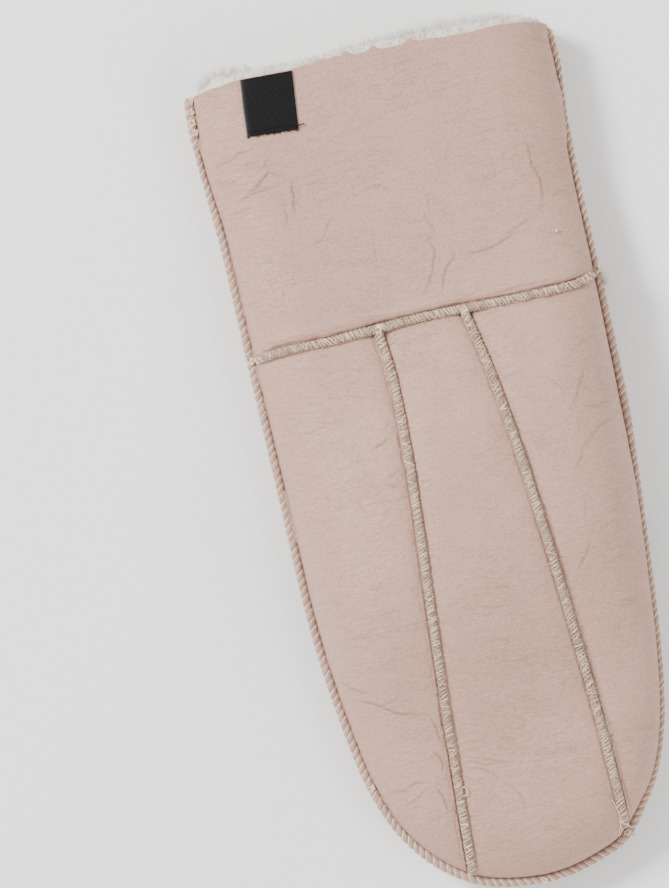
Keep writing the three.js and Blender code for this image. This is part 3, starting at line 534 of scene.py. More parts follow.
    def _wrinkles(self, x: Array, y: Array, to_seam: Array) -> Pair:
        """Undulations, puckers along the seams, drawn creases and fine crackle of the back.

        Args:
            x, y: Places in plan.
            to_seam: Distance to the nearest seam.

        Returns:
            Changes of height, and the painted shade in the creases and the crackle.
        """
        relief = 0.5 * self.broad.layered(x, y, 30.0) + 0.16 * self.broad.at(x + 90, y, 9.0)
        relief = relief + 0.16 * bell(to_seam, 3.6) * self.fine.layered(x, y, 3.2, 2)
        shade = np.zeros(x.shape)
        waver = 0.45 * self.waver.at(x, y, 4.5) + 0.18 * self.waver.at(x, y, 1.7)
        for crease in self.creases:
            change, deep = crease.carve(x, y, waver)
            relief, shade = relief + change, np.maximum(shade, deep)
        # The crackle's second output is painted shade in its valleys
        crackle, crackle_shade = self._crackle(x, y)
        return relief + crackle, np.maximum(shade, crackle_shade)

    def _crackle(self, x: Array, y: Array) -> Pair:
        """Fine creases where the skin has been bent most: by the little finger's side and the wrist.

        Args:
            x, y: Places in plan.

        Returns:
            Changes of height, and the painted shade in the crackle's valleys.
        """
        rub = smoothstep(-12, -48, x) * smoothstep(80, 104, y)
        rub = np.maximum(rub, 0.6 * smoothstep(30, 44, x) * smoothstep(60, 80, y) * smoothstep(140, 118, y))
        rub = np.maximum(rub, 0.75 * bell(x - 2, 14) * bell(y + 92, 16))
        rub = np.maximum(rub, 0.7 * smoothstep(30, 42, x) * bell(y - 12, 26))
        rub = np.maximum(rub, 0.5 * bell(x + 32, 10) * bell(y + 78, 14))
        rub = rub * smoothstep(-0.55, 0.35, self.broad.at(x - 40, y + 12, 13.0))
        rub = rub + 0.10 + 0.35 * smoothstep(0.1, 0.7, self.broad.at(x + 15, y - 70, 19.0))
        slant = 0.3 * self.broad.at(x, y - 33, 40.0) - 0.1
        u, v = x + slant * y, (y - slant * x) * 2.6
        valley = np.maximum(bell(self.fine.layered(u, v, 9.0, 3), 0.04),
                            0.8 * bell(self.waver.layered(u + 9, v, 6.0, 2), 0.05))
        # Painted shade in the crackle's valleys, matching how far they sink
        return -0.15 * rub * valley, 0.15 * rub * valley

    def smooth_palm(self, x: Array, y: Array) -> Array:
        """Height of the palm without its seams' ridges and its creases.

        Args:
            x, y: Places in plan.

        Returns:
            The heights.
        """
        high = self.seam_z(x, y) - LIPS_APART
        outside = self.outside_thumb(x, y)
        over = (THUMB_THICKNESS + THUMB_CLEARANCE) * smoothstep(DRAPE_END, DRAPE_START, outside)
        return high - (high - over) * pillow(self.inside(x, y) / PALM_ROUNDING)

    def palm(self, x: Array, y: Array) -> Pair:
        """Outer face of the palm: flat where it lies, draped over the thumb, and its creases.

        Args:
            x, y: Places in plan.

        Returns:
            Heights, and the painted shade in its creases, in a line beside its seams and along its edge at
            the side seam.
        """
        inside = self.inside(x, y)
        seams = (self.palm_cuff, self.gusset, self.heel, self.fingertip)
        seams = [np.abs(s.distance(x, y)) for s in seams]
        to_seam = np.minimum.reduce(seams)
        z = self.smooth_palm(x, y)
        inland = smoothstep(0, 6, inside)
        z = z + (1.2 * bell(to_seam, 5.0) + 0.6 * bell(to_seam - 1.5, 0.35)) * inland
        lines = self.fine.layered(x + 0.4 * y, 2.2 * y - 0.5 * x, 13.0, 3)
        creased = bell(lines, 0.05) * smoothstep(-0.2, 0.5, self.broad.at(x, y, 17.0))
        relief = np.abs(0.5 * self.broad.layered(x + 200, y, 28.0)) + 0.3 * creased
        # Painted shade in the crease lines, in the groove beside the seams and along the edge
        shade = np.maximum(0.5 * creased, 0.8 * bell(to_seam - 1.5, 0.35))
        shade = np.maximum(shade, 0.5 * smoothstep(0.5, 0.1, inside))
        return np.maximum(0.0, z + relief * inland), shade

    def thumb_seam_z(self, x: Array, y: Array) -> Array:
        """Height of the seam round the thumb."""
        near_root = smoothstep(THUMB_SEAM_LEVEL, THUMB_SEAM_AT_ROOT, self.to_side(x, y))
        return THUMB_SEAM_Z + (self.seam_z(x, y) - THUMB_WELT_DROP - THUMB_SEAM_Z) * near_root

    def thumb_face(self, x: Array, y: Array, under: bool) -> Pair:
        """Outer face of the thumb, under it or above it, and its creases.

        Args:
            x, y: Places in plan.
            under: Whether it is the face that lies on the table.

        Returns:
            Heights, and the painted shade in its creases and along its edge.
        """
        inside = np.maximum(0, -self.outside_thumb(x, y) - THUMB_INSET)
        rise = pillow(inside / THUMB_ROUNDING)
        seam = self.thumb_seam_z(x, y)
        lines = self.fine.layered(x - 0.3 * y, 2.0 * y + 0.4 * x, 9.0, 3)
        creased = bell(lines, 0.05) * smoothstep(-0.1, 0.5, self.broad.at(x + 9, y, 12.0))
        relief = np.abs(0.35 * self.broad.layered(x, y + 300, 18.0)) + 0.25 * creased
        # Painted shade in the crease lines and along the edge
        shade = np.maximum(0.5 * creased, 0.5 * smoothstep(0.5, 0.1, inside))
        if not under:
            low = seam + LIPS_APART
            return low + (THUMB_THICKNESS - low) * rise - relief * smoothstep(0, 4, inside), shade
        from_thumb = (seam - LIPS_APART) * (1 - rise)
        from_side = (self.seam_z(x, y) - LIPS_APART) * (1 - pillow(self.inside(x, y) / PALM_ROUNDING))
        z = np.maximum(from_thumb, from_side)
        return np.maximum(0.0, z + relief * smoothstep(0, 4, inside)), shade


@dataclass
class MeshData:
    """Points, faces and shading values of a mesh in the making."""

    points: Array
    quads: Array = field(default_factory=lambda: np.zeros((0, 4), int))
    tris: Array = field(default_factory=lambda: np.zeros((0, 3), int))
    values: dict[str, Array] = field(default_factory=dict)

    @staticmethod
    def joined(parts: Sequence["MeshData"]) -> "MeshData":
        """Puts several meshes into one.

        Args:
            parts: Meshes with the same shading values.

        Returns:
            The one mesh.
        """
        shift, quads, tris = 0, [], []
        for part in parts:
            quads.append(part.quads + shift)
            tris.append(part.tris + shift)
            shift += len(part.points)
        names = parts[0].values
        values = {n: np.concatenate([p.values[n] for p in parts]) for n in names}
        points = np.vstack([p.points for p in parts])
        return MeshData(points, np.vstack(quads), np.vstack(tris), values)


class Slot(Enum):
    """The record's material slots."""

    NAPPA = "nappa"
    THREAD = "thread"
    WOOL = "wool"
    LABEL = "woven_label"


def add_piece(name: str, data: MeshData, material: Material, slot: Slot, *nodes: str) -> None:
    """Makes an object of a mesh and hangs it on the mitten.

    Args:
        name: The piece's name.
        data: Its mesh in millimetres.
        material: Its finish.
        slot: The record's slot that the finish belongs to; not used.
        nodes: CAD nodes that the piece stands for.
    """
    mesh = bpy.data.meshes.new(name)
    data.points[:, 2] = np.maximum(data.points[:, 2], TABLE_GAP)
    mesh.vertices.add(len(data.points))
    mesh.vertices.foreach_set("co", (data.points * MM).astype(np.float32).ravel())
    corners = np.concatenate([data.quads.ravel(), data.tris.ravel()]).astype(np.int32)
    starts = 4 * np.arange(len(data.quads)), 4 * len(data.quads) + 3 * np.arange(len(data.tris))
    starts = np.concatenate(starts)
    mesh.loops.add(len(corners))
    mesh.loops.foreach_set("vertex_index", corners)
    mesh.polygons.add(len(starts))
    mesh.polygons.foreach_set("loop_start", starts.astype(np.int32))
    mesh.polygons.foreach_set("use_smooth", np.ones(len(starts), bool))
    for label, numbers in data.values.items():
        layer = mesh.attributes.new(label, "FLOAT", "POINT")
        layer.data.foreach_set("value", numbers.astype(np.float32))
    mesh.update(calc_edges=True)
    mesh.validate()
    mesh.materials.append(material)
    piece = bpy.data.objects.new(name, mesh)
    bpy.context.scene.collection.objects.link(piece)
    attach(piece, "root")
    if nodes:
        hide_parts(*nodes)
    LOG.info("%s: %d triangles", name, 2 * len(data.quads) + len(data.tris))


class NodeTree:
    """A material's nodes, added and joined in few words."""

    def __init__(self, name: str) -> None:
        """Starts a material with its shader.

        Args:
            name: Its name.
        """
        self.material = bpy.data.materials.new(name)
        self.material.use_nodes = True
        self.nodes = self.material.node_tree.nodes
        self.links = self.material.node_tree.links
        self.shader = self.nodes["Principled BSDF"]
        self.place = self.nodes.new("ShaderNodeTexCoord").outputs["Object"]

    def add(self, kind: str, inputs: dict[str, object], **settings: object) -> bpy.types.Node:
        """Adds a node.

        Args:
            kind: The node's type, without its first word.
            inputs: Values or outputs for its sockets, by name.
            settings: Its own options.

        Returns:
            The node.
        """
        node = self.nodes.new("ShaderNode" + kind)
        for key, value in settings.items():
            setattr(node, key, value)
        for key, value in inputs.items():
            self.feed(node.inputs[key], value)
        return node

    def feed(self, socket: Socket, value: object) -> None:
        """Joins an output to a socket, or sets the socket's own value.

        Args:
            socket: The socket.
            value: The output or the value.
        """
        if isinstance(value, Socket):
            self.links.new(value, socket)
        else:
            socket.default_value = value

    def pressed(self, flatness: float, turn: float = 0.15) -> Socket:
        """Places whose textures are pressed together along the mitten, so that they run across it."""
        settings = {"Vector": self.place, "Scale": (1.0, flatness, 1.0), "Rotation": (0.0, 0.0, turn)}
        return self.add("Mapping", settings).outputs[0]

    def noise(self, scale: float, detail: float = 3.0, roughness: float = 0.55,
              place: Socket | None = None) -> Socket:
        """Noise of so many lumps a metre."""
        inputs = {"Vector": place or self.place, "Scale": scale, "Detail": detail, "Roughness": roughness}
        return self.add("TexNoise", inputs).outputs["Fac"]

    def ranged(self, value: Socket, low: float, high: float) -> Socket:
        """Moves the middle of a noise to run from low to high."""
        inputs = {"Value": value, "From Min": 0.3, "From Max": 0.7, "To Min": low, "To Max": high}
        return self.add("MapRange", inputs).outputs["Result"]

    def blend(self, share: object, first: object, second: object) -> Socket:
        """Blends two colours."""
        return self.add("Mix", {0: share, 6: first, 7: second}, data_type="RGBA").outputs[2]

    def product(self, first: object, second: object) -> Socket:
        """Multiplies two values."""
        return self.add("Math", {0: first, 1: second}, operation="MULTIPLY").outputs[0]

    def attribute(self, name: str) -> Socket:
        """A value that the mesh carries."""
        return self.add("Attribute", {}, attribute_name=name).outputs["Fac"]

    def bump(self, height: Socket, depth: float, before: object = None) -> Socket:
        """Relief of a depth in metres, over what relief there is before it."""
        inputs = {"Height": height, "Distance": depth, "Strength": 1.0}
        return self.add("Bump", inputs | ({"Normal": before} if before else {})).outputs["Normal"]

    def surface(self, **sockets: object) -> Material:
        """Feeds the shader's sockets, named with underscores.

        Args:
            sockets: Values or outputs, by the names of the sockets.

        Returns:
            The finished material.
        """
        for key, value in sockets.items():
            self.feed(self.shader.inputs[key.replace("_", " ")], value)
        return self.material


@dataclass(frozen=True)
class Nappa:
    """Soft sheepskin nappa: beige pink and finely grained, with painted shade, redder and darker, in its
    creases, fine lines and ripples.
    """

    name: str = "nappa_leather"
    base: Colour = (0.550, 0.334, 0.265, 1.0)
    warm: Colour = (0.425, 0.245, 0.180, 1.0)
    pale: Colour = (0.570, 0.360, 0.285, 1.0)
    # Colour of the painted shade in creases and fine lines, and its share at a full 'crease' value
    creased: Colour = (0.165, 0.072, 0.050, 1.0)
    crease_shade_share: float = 0.85

    def material(self) -> Material:
        """Builds the material.

        Returns:
            The material.
        """
        tree = NodeTree(self.name)
        colour = tree.blend(tree.ranged(tree.noise(22.0), 0.0, 0.3), self.base, self.warm)
        colour = tree.blend(tree.ranged(tree.noise(60.0, 4.0), 0.0, 0.5), colour, self.pale)
        grain = tree.noise(1500.0, 4.0, 0.7)
        pores = tree.noise(1750.0, 1.0, 0.5)
        colour = tree.blend(tree.ranged(pores, 0.0, 1.0), colour, self.warm)
        ripples = tree.noise(330.0, 3.0, 0.6, tree.pressed(2.6, 0.1))
        # Painted shade: warmer and darker where the ripples' bump is low
        colour = tree.blend(tree.ranged(ripples, 0.28, 0.0), colour, self.warm)
        patches = tree.ranged(tree.noise(38.0, 2.0), 0.1, 1.0)
        lines = tree.product(self._lines(tree, 95.0, 2.6, 0.020), patches)
        patches = tree.ranged(tree.noise(70.0, 2.0), 0.2, 1.0)
        fine_lines = tree.product(self._lines(tree, 300.0, 1.9, 0.030), patches)
        # Painted shade along the lines, which the bump below makes into grooves
        colour = tree.blend(tree.product(lines, 0.045), colour, self.creased)
        colour = tree.blend(tree.product(fine_lines, 0.025), colour, self.creased)
        # Painted shade from the mesh's 'crease' value: creases, gutters beside the welts and the leather's
        # edges
        colour = tree.blend(tree.product(tree.attribute("crease"), self.crease_shade_share), colour, self.creased)
        relief = tree.bump(tree.noise(420.0, 4.0, 0.6), 0.00012)
        relief = tree.bump(ripples, 0.00040, relief)
        relief = tree.bump(lines, -0.00009, relief)
        relief = tree.bump(fine_lines, -0.00004, relief)
        relief = tree.bump(grain, 0.00004, relief)
        return tree.surface(
            Base_Color=colour,
            Roughness=tree.ranged(tree.noise(420.0, 3.0), 0.46, 0.60),
            Normal=relief,
            Specular_IOR_Level=0.4,
            Sheen_Weight=0.08,
            Sheen_Roughness=0.5,
        )

    def _lines(self, tree: NodeTree, scale: float, flatness: float, width: float) -> Socket:
        """Fine wandering lines that run mostly across the mitten, 1 on the lines.

        Args:
            tree: The material's nodes.
            scale: Lumps a metre of the noise whose middle the lines follow.
            flatness: How much the lines are pressed together along the mitten.
            width: Half width of the lines as a share of the noise's range.

        Returns:
            The lines.
        """
        inputs = {"Scale": scale, "Detail": 4.0, "Roughness": 0.6, "Distortion": 0.7}
        noise = tree.add("TexNoise", {"Vector": tree.pressed(flatness), **inputs}).outputs["Fac"]
        gap = tree.add("Math", {0: noise, 1: 0.5}, operation="SUBTRACT").outputs[0]
        gap = tree.add("Math", {0: gap}, operation="ABSOLUTE").outputs[0]
        inputs = {"Value": gap, "From Min": 0.0, "From Max": width, "To Min": 1.0, "To Max": 0.0}
        return tree.add("MapRange", inputs, interpolation_type="SMOOTHSTEP").outputs["Result"]


@dataclass(frozen=True)
class Thread:
    """Glossy sewing thread, with a tone of its own for each stitch."""

    name: str = "cream_thread"
    light: Colour = (0.940, 0.722, 0.550, 1.0)
    dark: Colour = (0.450, 0.290, 0.190, 1.0)

    def material(self) -> Material:
        """Builds the material.

        Returns:
            The material.
        """
        tree = NodeTree(self.name)
        colour = tree.blend(tree.attribute("tone"), self.light, self.dark)
        fibres = tree.noise(5200.0, 2.0, 0.6)
        colour = tree.blend(tree.ranged(tree.noise(1700.0, 3.0, 0.7), 0.0, 0.55), colour, self.dark)
        return tree.surface(
            Base_Color=colour,
            Roughness=tree.ranged(fibres, 0.22, 0.38),
            Normal=tree.bump(fibres, 0.00006),
            Specular_IOR_Level=0.7,
            Sheen_Weight=0.2,
            Sheen_Roughness=0.35,
        )


@dataclass(frozen=True)
class SeamEdge:
    """The rolled edges of the skins between the stitches: leather, wool ends and thread, with painted shade
    in the grooves under the stitches.
    """

    name: str
    leather: Colour = (0.53, 0.34, 0.26, 1.0)
    wool: Colour = (0.64, 0.44, 0.345, 1.0)
    # gap: dark colour of the speckles and of the painted shade in the grooves
    gap: Colour = (0.22, 0.12, 0.08, 1.0)

    def material(self) -> Material:
        """Builds the material.

        Returns:
            The material.
        """
        tree = NodeTree(self.name)
        fluff = tree.noise(1100.0, 5.0, 0.75)
        colour = tree.blend(tree.ranged(tree.noise(330.0, 3.0), 0.0, 1.0), self.leather, self.wool)
        colour = tree.blend(tree.ranged(fluff, 0.0, 0.5), colour, self.gap)
        # Painted shade in the roll's grooves, from its 'crease' value
        colour = tree.blend(tree.attribute("crease"), colour, self.gap)
        return tree.surface(
            Base_Color=colour,
            Roughness=tree.ranged(fluff, 0.6, 0.85),
            Normal=tree.bump(fluff, 0.00028),
            Sheen_Weight=0.3,
            Sheen_Roughness=0.5,
        )


@dataclass(frozen=True)
class Wool:
    """Short sheep's wool, off-white and matte, with painted shade in its hollows and a random tone on its
    fibres.
    """

    name: str = "sheep_wool"
    light: Colour = (0.965, 0.910, 0.850, 1.0)
    deep: Colour = (0.660, 0.555, 0.455, 1.0)

    def material(self) -> Material:
        """Builds the material.

        Returns:
            The material.
        """
        tree = NodeTree(self.name)
        curl = tree.noise(620.0, 5.0, 0.65)
        # Painted shade in the pile's hollows from its 'crease' value; on loose fibres the value is a random
        # tone
        colour = tree.blend(tree.attribute("crease"), self.light, self.deep)
        # Painted shade where the curl bump below is low
        colour = tree.blend(tree.ranged(curl, 0.55, 0.0), colour, self.deep)
        return tree.surface(
            Base_Color=colour,
            Roughness=tree.ranged(curl, 0.8, 0.95),
            Normal=tree.bump(curl, 0.0008),
            Sheen_Weight=0.45,
            Sheen_Roughness=0.6,
            Subsurface_Weight=0.15,
            Subsurface_Scale=0.002,
        )


@dataclass(frozen=True)
class WovenTape:
    """Black woven tape: warp and weft just to be seen."""

    name: str = "black_woven_tape"
    warp: Colour = (0.001, 0.001, 0.0012, 1.0)
    weft: Colour = (0.037, 0.0365, 0.0375, 1.0)
    # Paler colour along the tape's folded left edge
    pale_fold_edge: Colour = (0.10, 0.097, 0.095, 1.0)
    threads: float = 3300.0 / 6.3

    def material(self) -> Material:
        """Builds the material.

        Returns:
            The material.
        """
        tree = NodeTree(self.name)
        turn = tree.add("Mapping", {"Vector": tree.place, "Rotation": (0.0, 0.0, math.radians(-4))})
        waves = []
        for direction in ("X", "Y"):
            inputs = {"Vector": turn.outputs[0], "Scale": self.threads, "Distortion": 0.4}
            wave = tree.add("TexWave", inputs, bands_direction=direction, wave_profile="SIN")
            waves.append(wave.outputs["Fac"])
        weave = tree.product(*waves)
        fluff = tree.noise(2600.0, 3.0, 0.7)
        colour = tree.blend(tree.product(weave, tree.ranged(fluff, 0.3, 1.0)), self.warp, self.weft)
        return tree.surface(
            # Paler along the folded left edge, from its 'crease' value
            Base_Color=tree.blend(tree.attribute("crease"), colour, self.pale_fold_edge),
            Roughness=tree.ranged(fluff, 0.62, 0.8),
            Normal=tree.bump(weave, 0.0001),
            Specular_IOR_Level=0.12,
        )


def fractions(width: float, step: float, start: float, end: float, multiple: int) -> Array:
    """Where the lines of a sheet lie across it: closer together where it rounds into a seam.

    Args:
        width: The sheet's width in millimetres.
        step: Distance between lines in millimetres.
        start, end: Rounding at its ends, 0 for none.
        multiple: What the number of steps is a multiple of.

    Returns:
        Shares of the width from 0 to 1.
    """
    squeeze = min(1.0, 0.96 * width / max(start + end, 1e-6))
    start, end = start * squeeze, end * squeeze

    def arc(rounding: float) -> Array:
        """Places within one rounding, from the edge inwards."""
        turns = np.linspace(0, math.pi / 2, max(2, int(1.35 * rounding / step)))
        return rounding * (1 - np.cos(turns))

    level = np.arange(start, width - end + 1e-9, step)
    places = np.unique(np.round(np.concatenate([arc(start), level, width - arc(end)]), 6)) / width
    count = multiple * max(1, round((len(places) - 1) / multiple))
    even = np.interp(np.linspace(0, 1, count + 1), np.linspace(0, 1, len(places)), places)
    even[0], even[-1] = 0.0, 1.0
    return even


def straight(a: Array, b: Array, shares: Array) -> Array:
    """Points on a straight line at shares of its length."""
    return a + (b - a) * shares[:, None]


def coons(left: Array, right: Array, top: Array, bottom: Array, across: Array, down: Array) -> Array:
    """Plan points between four edges.

    Args:
        left, right, top, bottom: Points along the edges.
        across: Shares of the width at which top and bottom have their points.
        down: Shares of the height at which left and right have theirs.

    Returns:
        A grid of points, rows downwards.
    """
    u, v = across[None, :, None], down[:, None, None]
    rows = (1 - v) * top[None] + v * bottom[None]
    columns = (1 - u) * left[:, None] + u * right[:, None]
    above = (1 - u) * left[0] + u * right[0]
    below = (1 - u) * left[-1] + u * right[-1]
    return rows + columns - (1 - v) * above - v * below


def closing_strip(fine: Array, coarse: Array, share: int) -> Array:
    """Triangles that join an edge of many points to one of fewer.

    Args:
        fine: Indices along the outer face's edge.
        coarse: Indices along the inner face's edge.
        share: Steps of the fine edge for each step of the coarse one.

    Returns:
        The triangles.
    """
    tris = []
    for k in range(len(coarse) - 1):
        a, b, f = coarse[k], coarse[k + 1], fine[k * share : (k + 1) * share + 1]
        half = max(1, share // 2)
        tris += [(f[j], f[j + 1], a) for j in range(half)]
        tris.append((f[half], b, a))
        tris += [(f[j], f[j + 1], b) for j in range(half, share)]
    return np.array(tris, int)


def skin(plan: Array, z: Array, crease: Array, facing: int, thickness: float, share: int = 4) -> MeshData:
    """A closed sheet of leather: a fine outer face, and an inner face with fewer points.

    Args:
        plan: Grid of plan points, rows downwards.
        z: Height of the outer face at each.
        crease: Painted shade at each, 0 to 1, kept as its 'crease' value; on the label, how much paler its
            folded edge is.
        facing: 1 where the outer face looks up, -1 where it looks down.
        thickness: Of the leather, in millimetres.
        share: Steps of the outer face for each step of the inner one.

    Returns:
        The mesh.
    """
    outer = np.dstack([plan, z])
    normal = unit(np.cross(np.gradient(outer, axis=0), np.gradient(outer, axis=1)) * facing)
    inner = (outer - normal * thickness)[::share, ::share]
    if facing < 0:
        inner[..., 2] = np.maximum(inner[..., 2], LOWEST_INSIDE)
    count = outer.shape[0] * outer.shape[1]
    o = np.arange(count).reshape(outer.shape[:2])
    q = count + np.arange(inner.shape[0] * inner.shape[1]).reshape(inner.shape[:2])
    quads = [
        np.stack([o[:-1, :-1], o[1:, :-1], o[1:, 1:], o[:-1, 1:]], -1).reshape(-1, 4),
        np.stack([q[:-1, :-1], q[:-1, 1:], q[1:, 1:], q[1:, :-1]], -1).reshape(-1, 4),
    ]
    edges = [(o[0], q[0]), (o[-1, ::-1], q[-1, ::-1]), (o[::-1, 0], q[::-1, 0]), (o[:, -1], q[:, -1])]
    tris = [closing_strip(a, b, share) for a, b in edges]
    quads, tris = np.vstack(quads), np.vstack(tris)
    if facing < 0:
        quads, tris = quads[:, ::-1], tris[:, ::-1]
    shade = np.concatenate([crease.ravel(), np.zeros(inner.shape[0] * inner.shape[1])])
    return MeshData(np.vstack([outer.reshape(-1, 3), inner.reshape(-1, 3)]), quads, tris, {"crease": shade})


def strands(lines: Array, radius: Array, sides: int, tone: Array, name: str = "tone") -> MeshData:
    """Thin closed tubes along many short lines.

    Args:
        lines: Points of each line, an array of lines by points by 3.
        radius: Radius at each point, an array of lines by points.
        sides: Number of sides of each tube.
        tone: A shading value for each line.
        name: What the shading value is called.

    Returns:
        One mesh of all the tubes.
    """
    count, length = lines.shape[:2]
    along = unit(np.gradient(lines, axis=1))
    whole = lines[:, -1] - lines[:, 0]
    axis = np.eye(3)[np.argmin(np.abs(whole), axis=1)][:, None, :]
    side = unit(np.cross(along, axis))
    other = np.cross(side, along)
    turns = 2 * math.pi * np.arange(sides) / sides
    ring = np.cos(turns)[:, None] * side[:, :, None] + np.sin(turns)[:, None] * other[:, :, None]
    points = lines[:, :, None] + ring * radius[:, :, None, None]
    index = np.arange(count * length * sides).reshape(count, length, sides)
    ahead = np.roll(index, -1, axis=2)
    quads = np.stack([index[:, :-1], index[:, 1:], ahead[:, 1:], ahead[:, :-1]], -1).reshape(-1, 4)
    fan = [(0, k, k + 1) for k in range(1, sides - 1)]
    start = np.stack([index[:, 0][:, list(f)] for f in fan], 1).reshape(-1, 3)
    end = np.stack([index[:, -1][:, list(f)[::-1]] for f in fan], 1).reshape(-1, 3)
    shade = np.repeat(tone, length * sides)
    return MeshData(points.reshape(-1, 3), quads, np.vstack([start, end]), {name: shade})


@dataclass
class SeamPath:
    """A seam in space: its line in plan, its height, and the frame round it."""

    curve: PlanCurve
    height: HeightField
    start: float
    end: float

    def spine(self, run: Array) -> Array:
        """Points of the seam at lengths along it."""
        plan = self.curve.at(run)
        return np.concatenate([plan, self.height(plan[..., 0], plan[..., 1])[..., None]], -1)

    def round_it(self, run: Array, angle: Array, radius: Array) -> Array:
        """Points round the seam.

        Args:
            run: Lengths along the seam.
            angle: Turn round it: 0 to the right of its direction, a quarter turn at its top.
            radius: Distance from it in millimetres.

        Returns:
            The points.
        """
        d = self.curve.along(run)
        right = np.stack([d[..., 1], -d[..., 0], np.zeros(d.shape[:-1])], -1)
        up = np.array([0.0, 0.0, 1.0])
        out = np.cos(angle)[..., None] * right + np.sin(angle)[..., None] * up
        return self.spine(run) + radius[..., None] * out


@dataclass
class RolledSeam:
    """Edges of leather rolled together, and the stitches whipped over them."""

    path: SeamPath
    radius: float
    pitch: float
    slant: float
    thread: float
    turn_start: float
    turn_end: float
    bulge: float = 0.11
    jitter: float = 0.1
    tilt_spread: float = 0.12
    tone: float = 0.2
    tone_spread: float = 0.35
    rough: float = 0.06
    sides: int = 14
    seed: int = 1
    widths: Rows = ((0.0, 1.0), (1.0, 1.0))

    def radius_at(self, run: Array) -> Array:
        """Radius of the roll along the seam."""
        share, width = zip(*self.widths)
        return self.radius * np.interp(run / self.path.curve.length, share, width)

    def roll(self) -> MeshData:
        """The rolled edges: a tube that swells between the stitches, with painted shade in the grooves where
        the stitches lie.

        Returns:
            Its mesh.
        """
        path = self.path
        runs = np.arange(path.start, path.end, ROLL_STEP)
        turns = 2 * math.pi * np.arange(self.sides) / self.sides
        run, turn = np.meshgrid(runs, turns, indexing="ij")
        from_top = (turn - math.pi / 2 + math.pi) % (2 * math.pi) - math.pi
        phase = (run - self.slant * from_top / math.pi) / self.pitch
        swell = 0.5 - 0.5 * np.cos(2 * math.pi * phase)
        lumps = SoftNoise(self.seed)
        ripple = 0.2 * self.bulge * np.cos(6 * math.pi * phase)
        rough = self.rough * (lumps.layered(run, 3.0 * turn, 1.7) + 0.8 * lumps.at(run, 0 * run, 9.0))
        taper = np.minimum(1.0, np.minimum(run - path.start, path.end - run) / 1.2 + 0.35)
        radius = self.radius_at(run) * (1 + self.bulge * (swell - 0.6) + ripple + rough) * taper
        points = path.round_it(run, turn, radius)
        index = np.arange(points[..., 0].size).reshape(run.shape)
        ahead = np.roll(index, -1, axis=1)
        quads = np.stack([index[:-1], ahead[:-1], ahead[1:], index[1:]], -1).reshape(-1, 4)
        fan = np.array([(0, k, k + 1) for k in range(1, self.sides - 1)])
        tris = np.vstack([index[0][fan[:, ::-1]], index[-1][fan]])
        # Painted shade in the grooves between the swellings, where the stitches lie
        shade = (0.8 * (1 - swell) ** 2.2).ravel()
        return MeshData(points.reshape(-1, 3), quads, tris, {"crease": shade})

    def stitches(self) -> MeshData:
        """The stitches: thin arcs of thread, pulled into the roll at their ends.

        Returns:
            Their mesh.
        """
        rng = np.random.default_rng(self.seed)
        path = self.path
        places = np.arange(path.start + 0.8, path.end - 0.8, self.pitch)
        places = places + rng.normal(0, self.jitter * self.pitch, places.shape)
        share = np.linspace(0, 1, 11)[None]
        angle = self.turn_start + (self.turn_end - self.turn_start) * share
        angle = angle + 0 * places[:, None]
        tilt = self.slant * (1 + rng.normal(0, self.tilt_spread, places.shape))[:, None]
        run = np.clip(places[:, None] + tilt * (angle - math.pi / 2) / math.pi, 0, path.curve.length)
        sink = 0.55 * self.thread * (2 * np.abs(share - 0.5)) ** 6 * 3.0
        radius = self.radius_at(run) * (1 - 0.35 * self.bulge) + 0.45 * self.thread - sink
        radius = radius + rng.normal(0, 0.35 * self.jitter, places.shape)[:, None]
        lines = path.round_it(run, angle, radius)
        uneven = rng.normal(0, 0.06 + 0.5 * self.jitter, places.shape).clip(-0.45, 0.6)
        width = self.thread * (1 + uneven)[:, None] * (1 - 0.35 * (2 * share - 1) ** 8)
        tone = np.clip(rng.normal(self.tone, self.tone_spread, places.shape), 0, 1)
        return strands(lines, np.broadcast_to(width, run.shape), 5, tone)


def curled_fibres(roots: Array, ways: Array, lengths: Array, rng: np.random.Generator, radius: float = 0.07,
                  curl: float = 0.35, points: int = 7, value: str = "crease") -> MeshData:
    """Curled wool fibres.

    Args:
        roots: Where they start.
        ways: Where they point, as unit vectors.
        lengths: How long they are, in millimetres.
        rng: Source of the curls.
        radius: Half their thickness in millimetres.
        curl: Width of the curls in millimetres.
        points: Points along each.
        value: What their shading value is called.

    Returns:
        One mesh of all the fibres.
    """
    count = len(roots)
    share = np.linspace(0, 1, points)[None, :, None]
    first = unit(np.cross(ways, rng.normal(size=(count, 3))))
    second = np.cross(ways, first)
    phase = rng.uniform(0, 2 * math.pi, count)[:, None, None]
    turns = (lengths / rng.uniform(1.8, 3.4, count))[:, None, None] * 2 * math.pi * share + phase
    wide = curl * rng.uniform(0.5, 1.4, count)[:, None, None] * np.sqrt(share)
    bend = first[:, None] * rng.normal(0, 0.25, count)[:, None, None] * lengths[:, None, None] * share**2
    lines = roots[:, None] + ways[:, None] * lengths[:, None, None] * share + bend
    lines = lines + wide * (np.cos(turns) * first[:, None] + np.sin(turns) * second[:, None])
    width = np.broadcast_to(radius * (1 - 0.65 * share[..., 0]), (count, points))
    return strands(lines, width, 3, rng.uniform(0.0, 0.5, count), value)


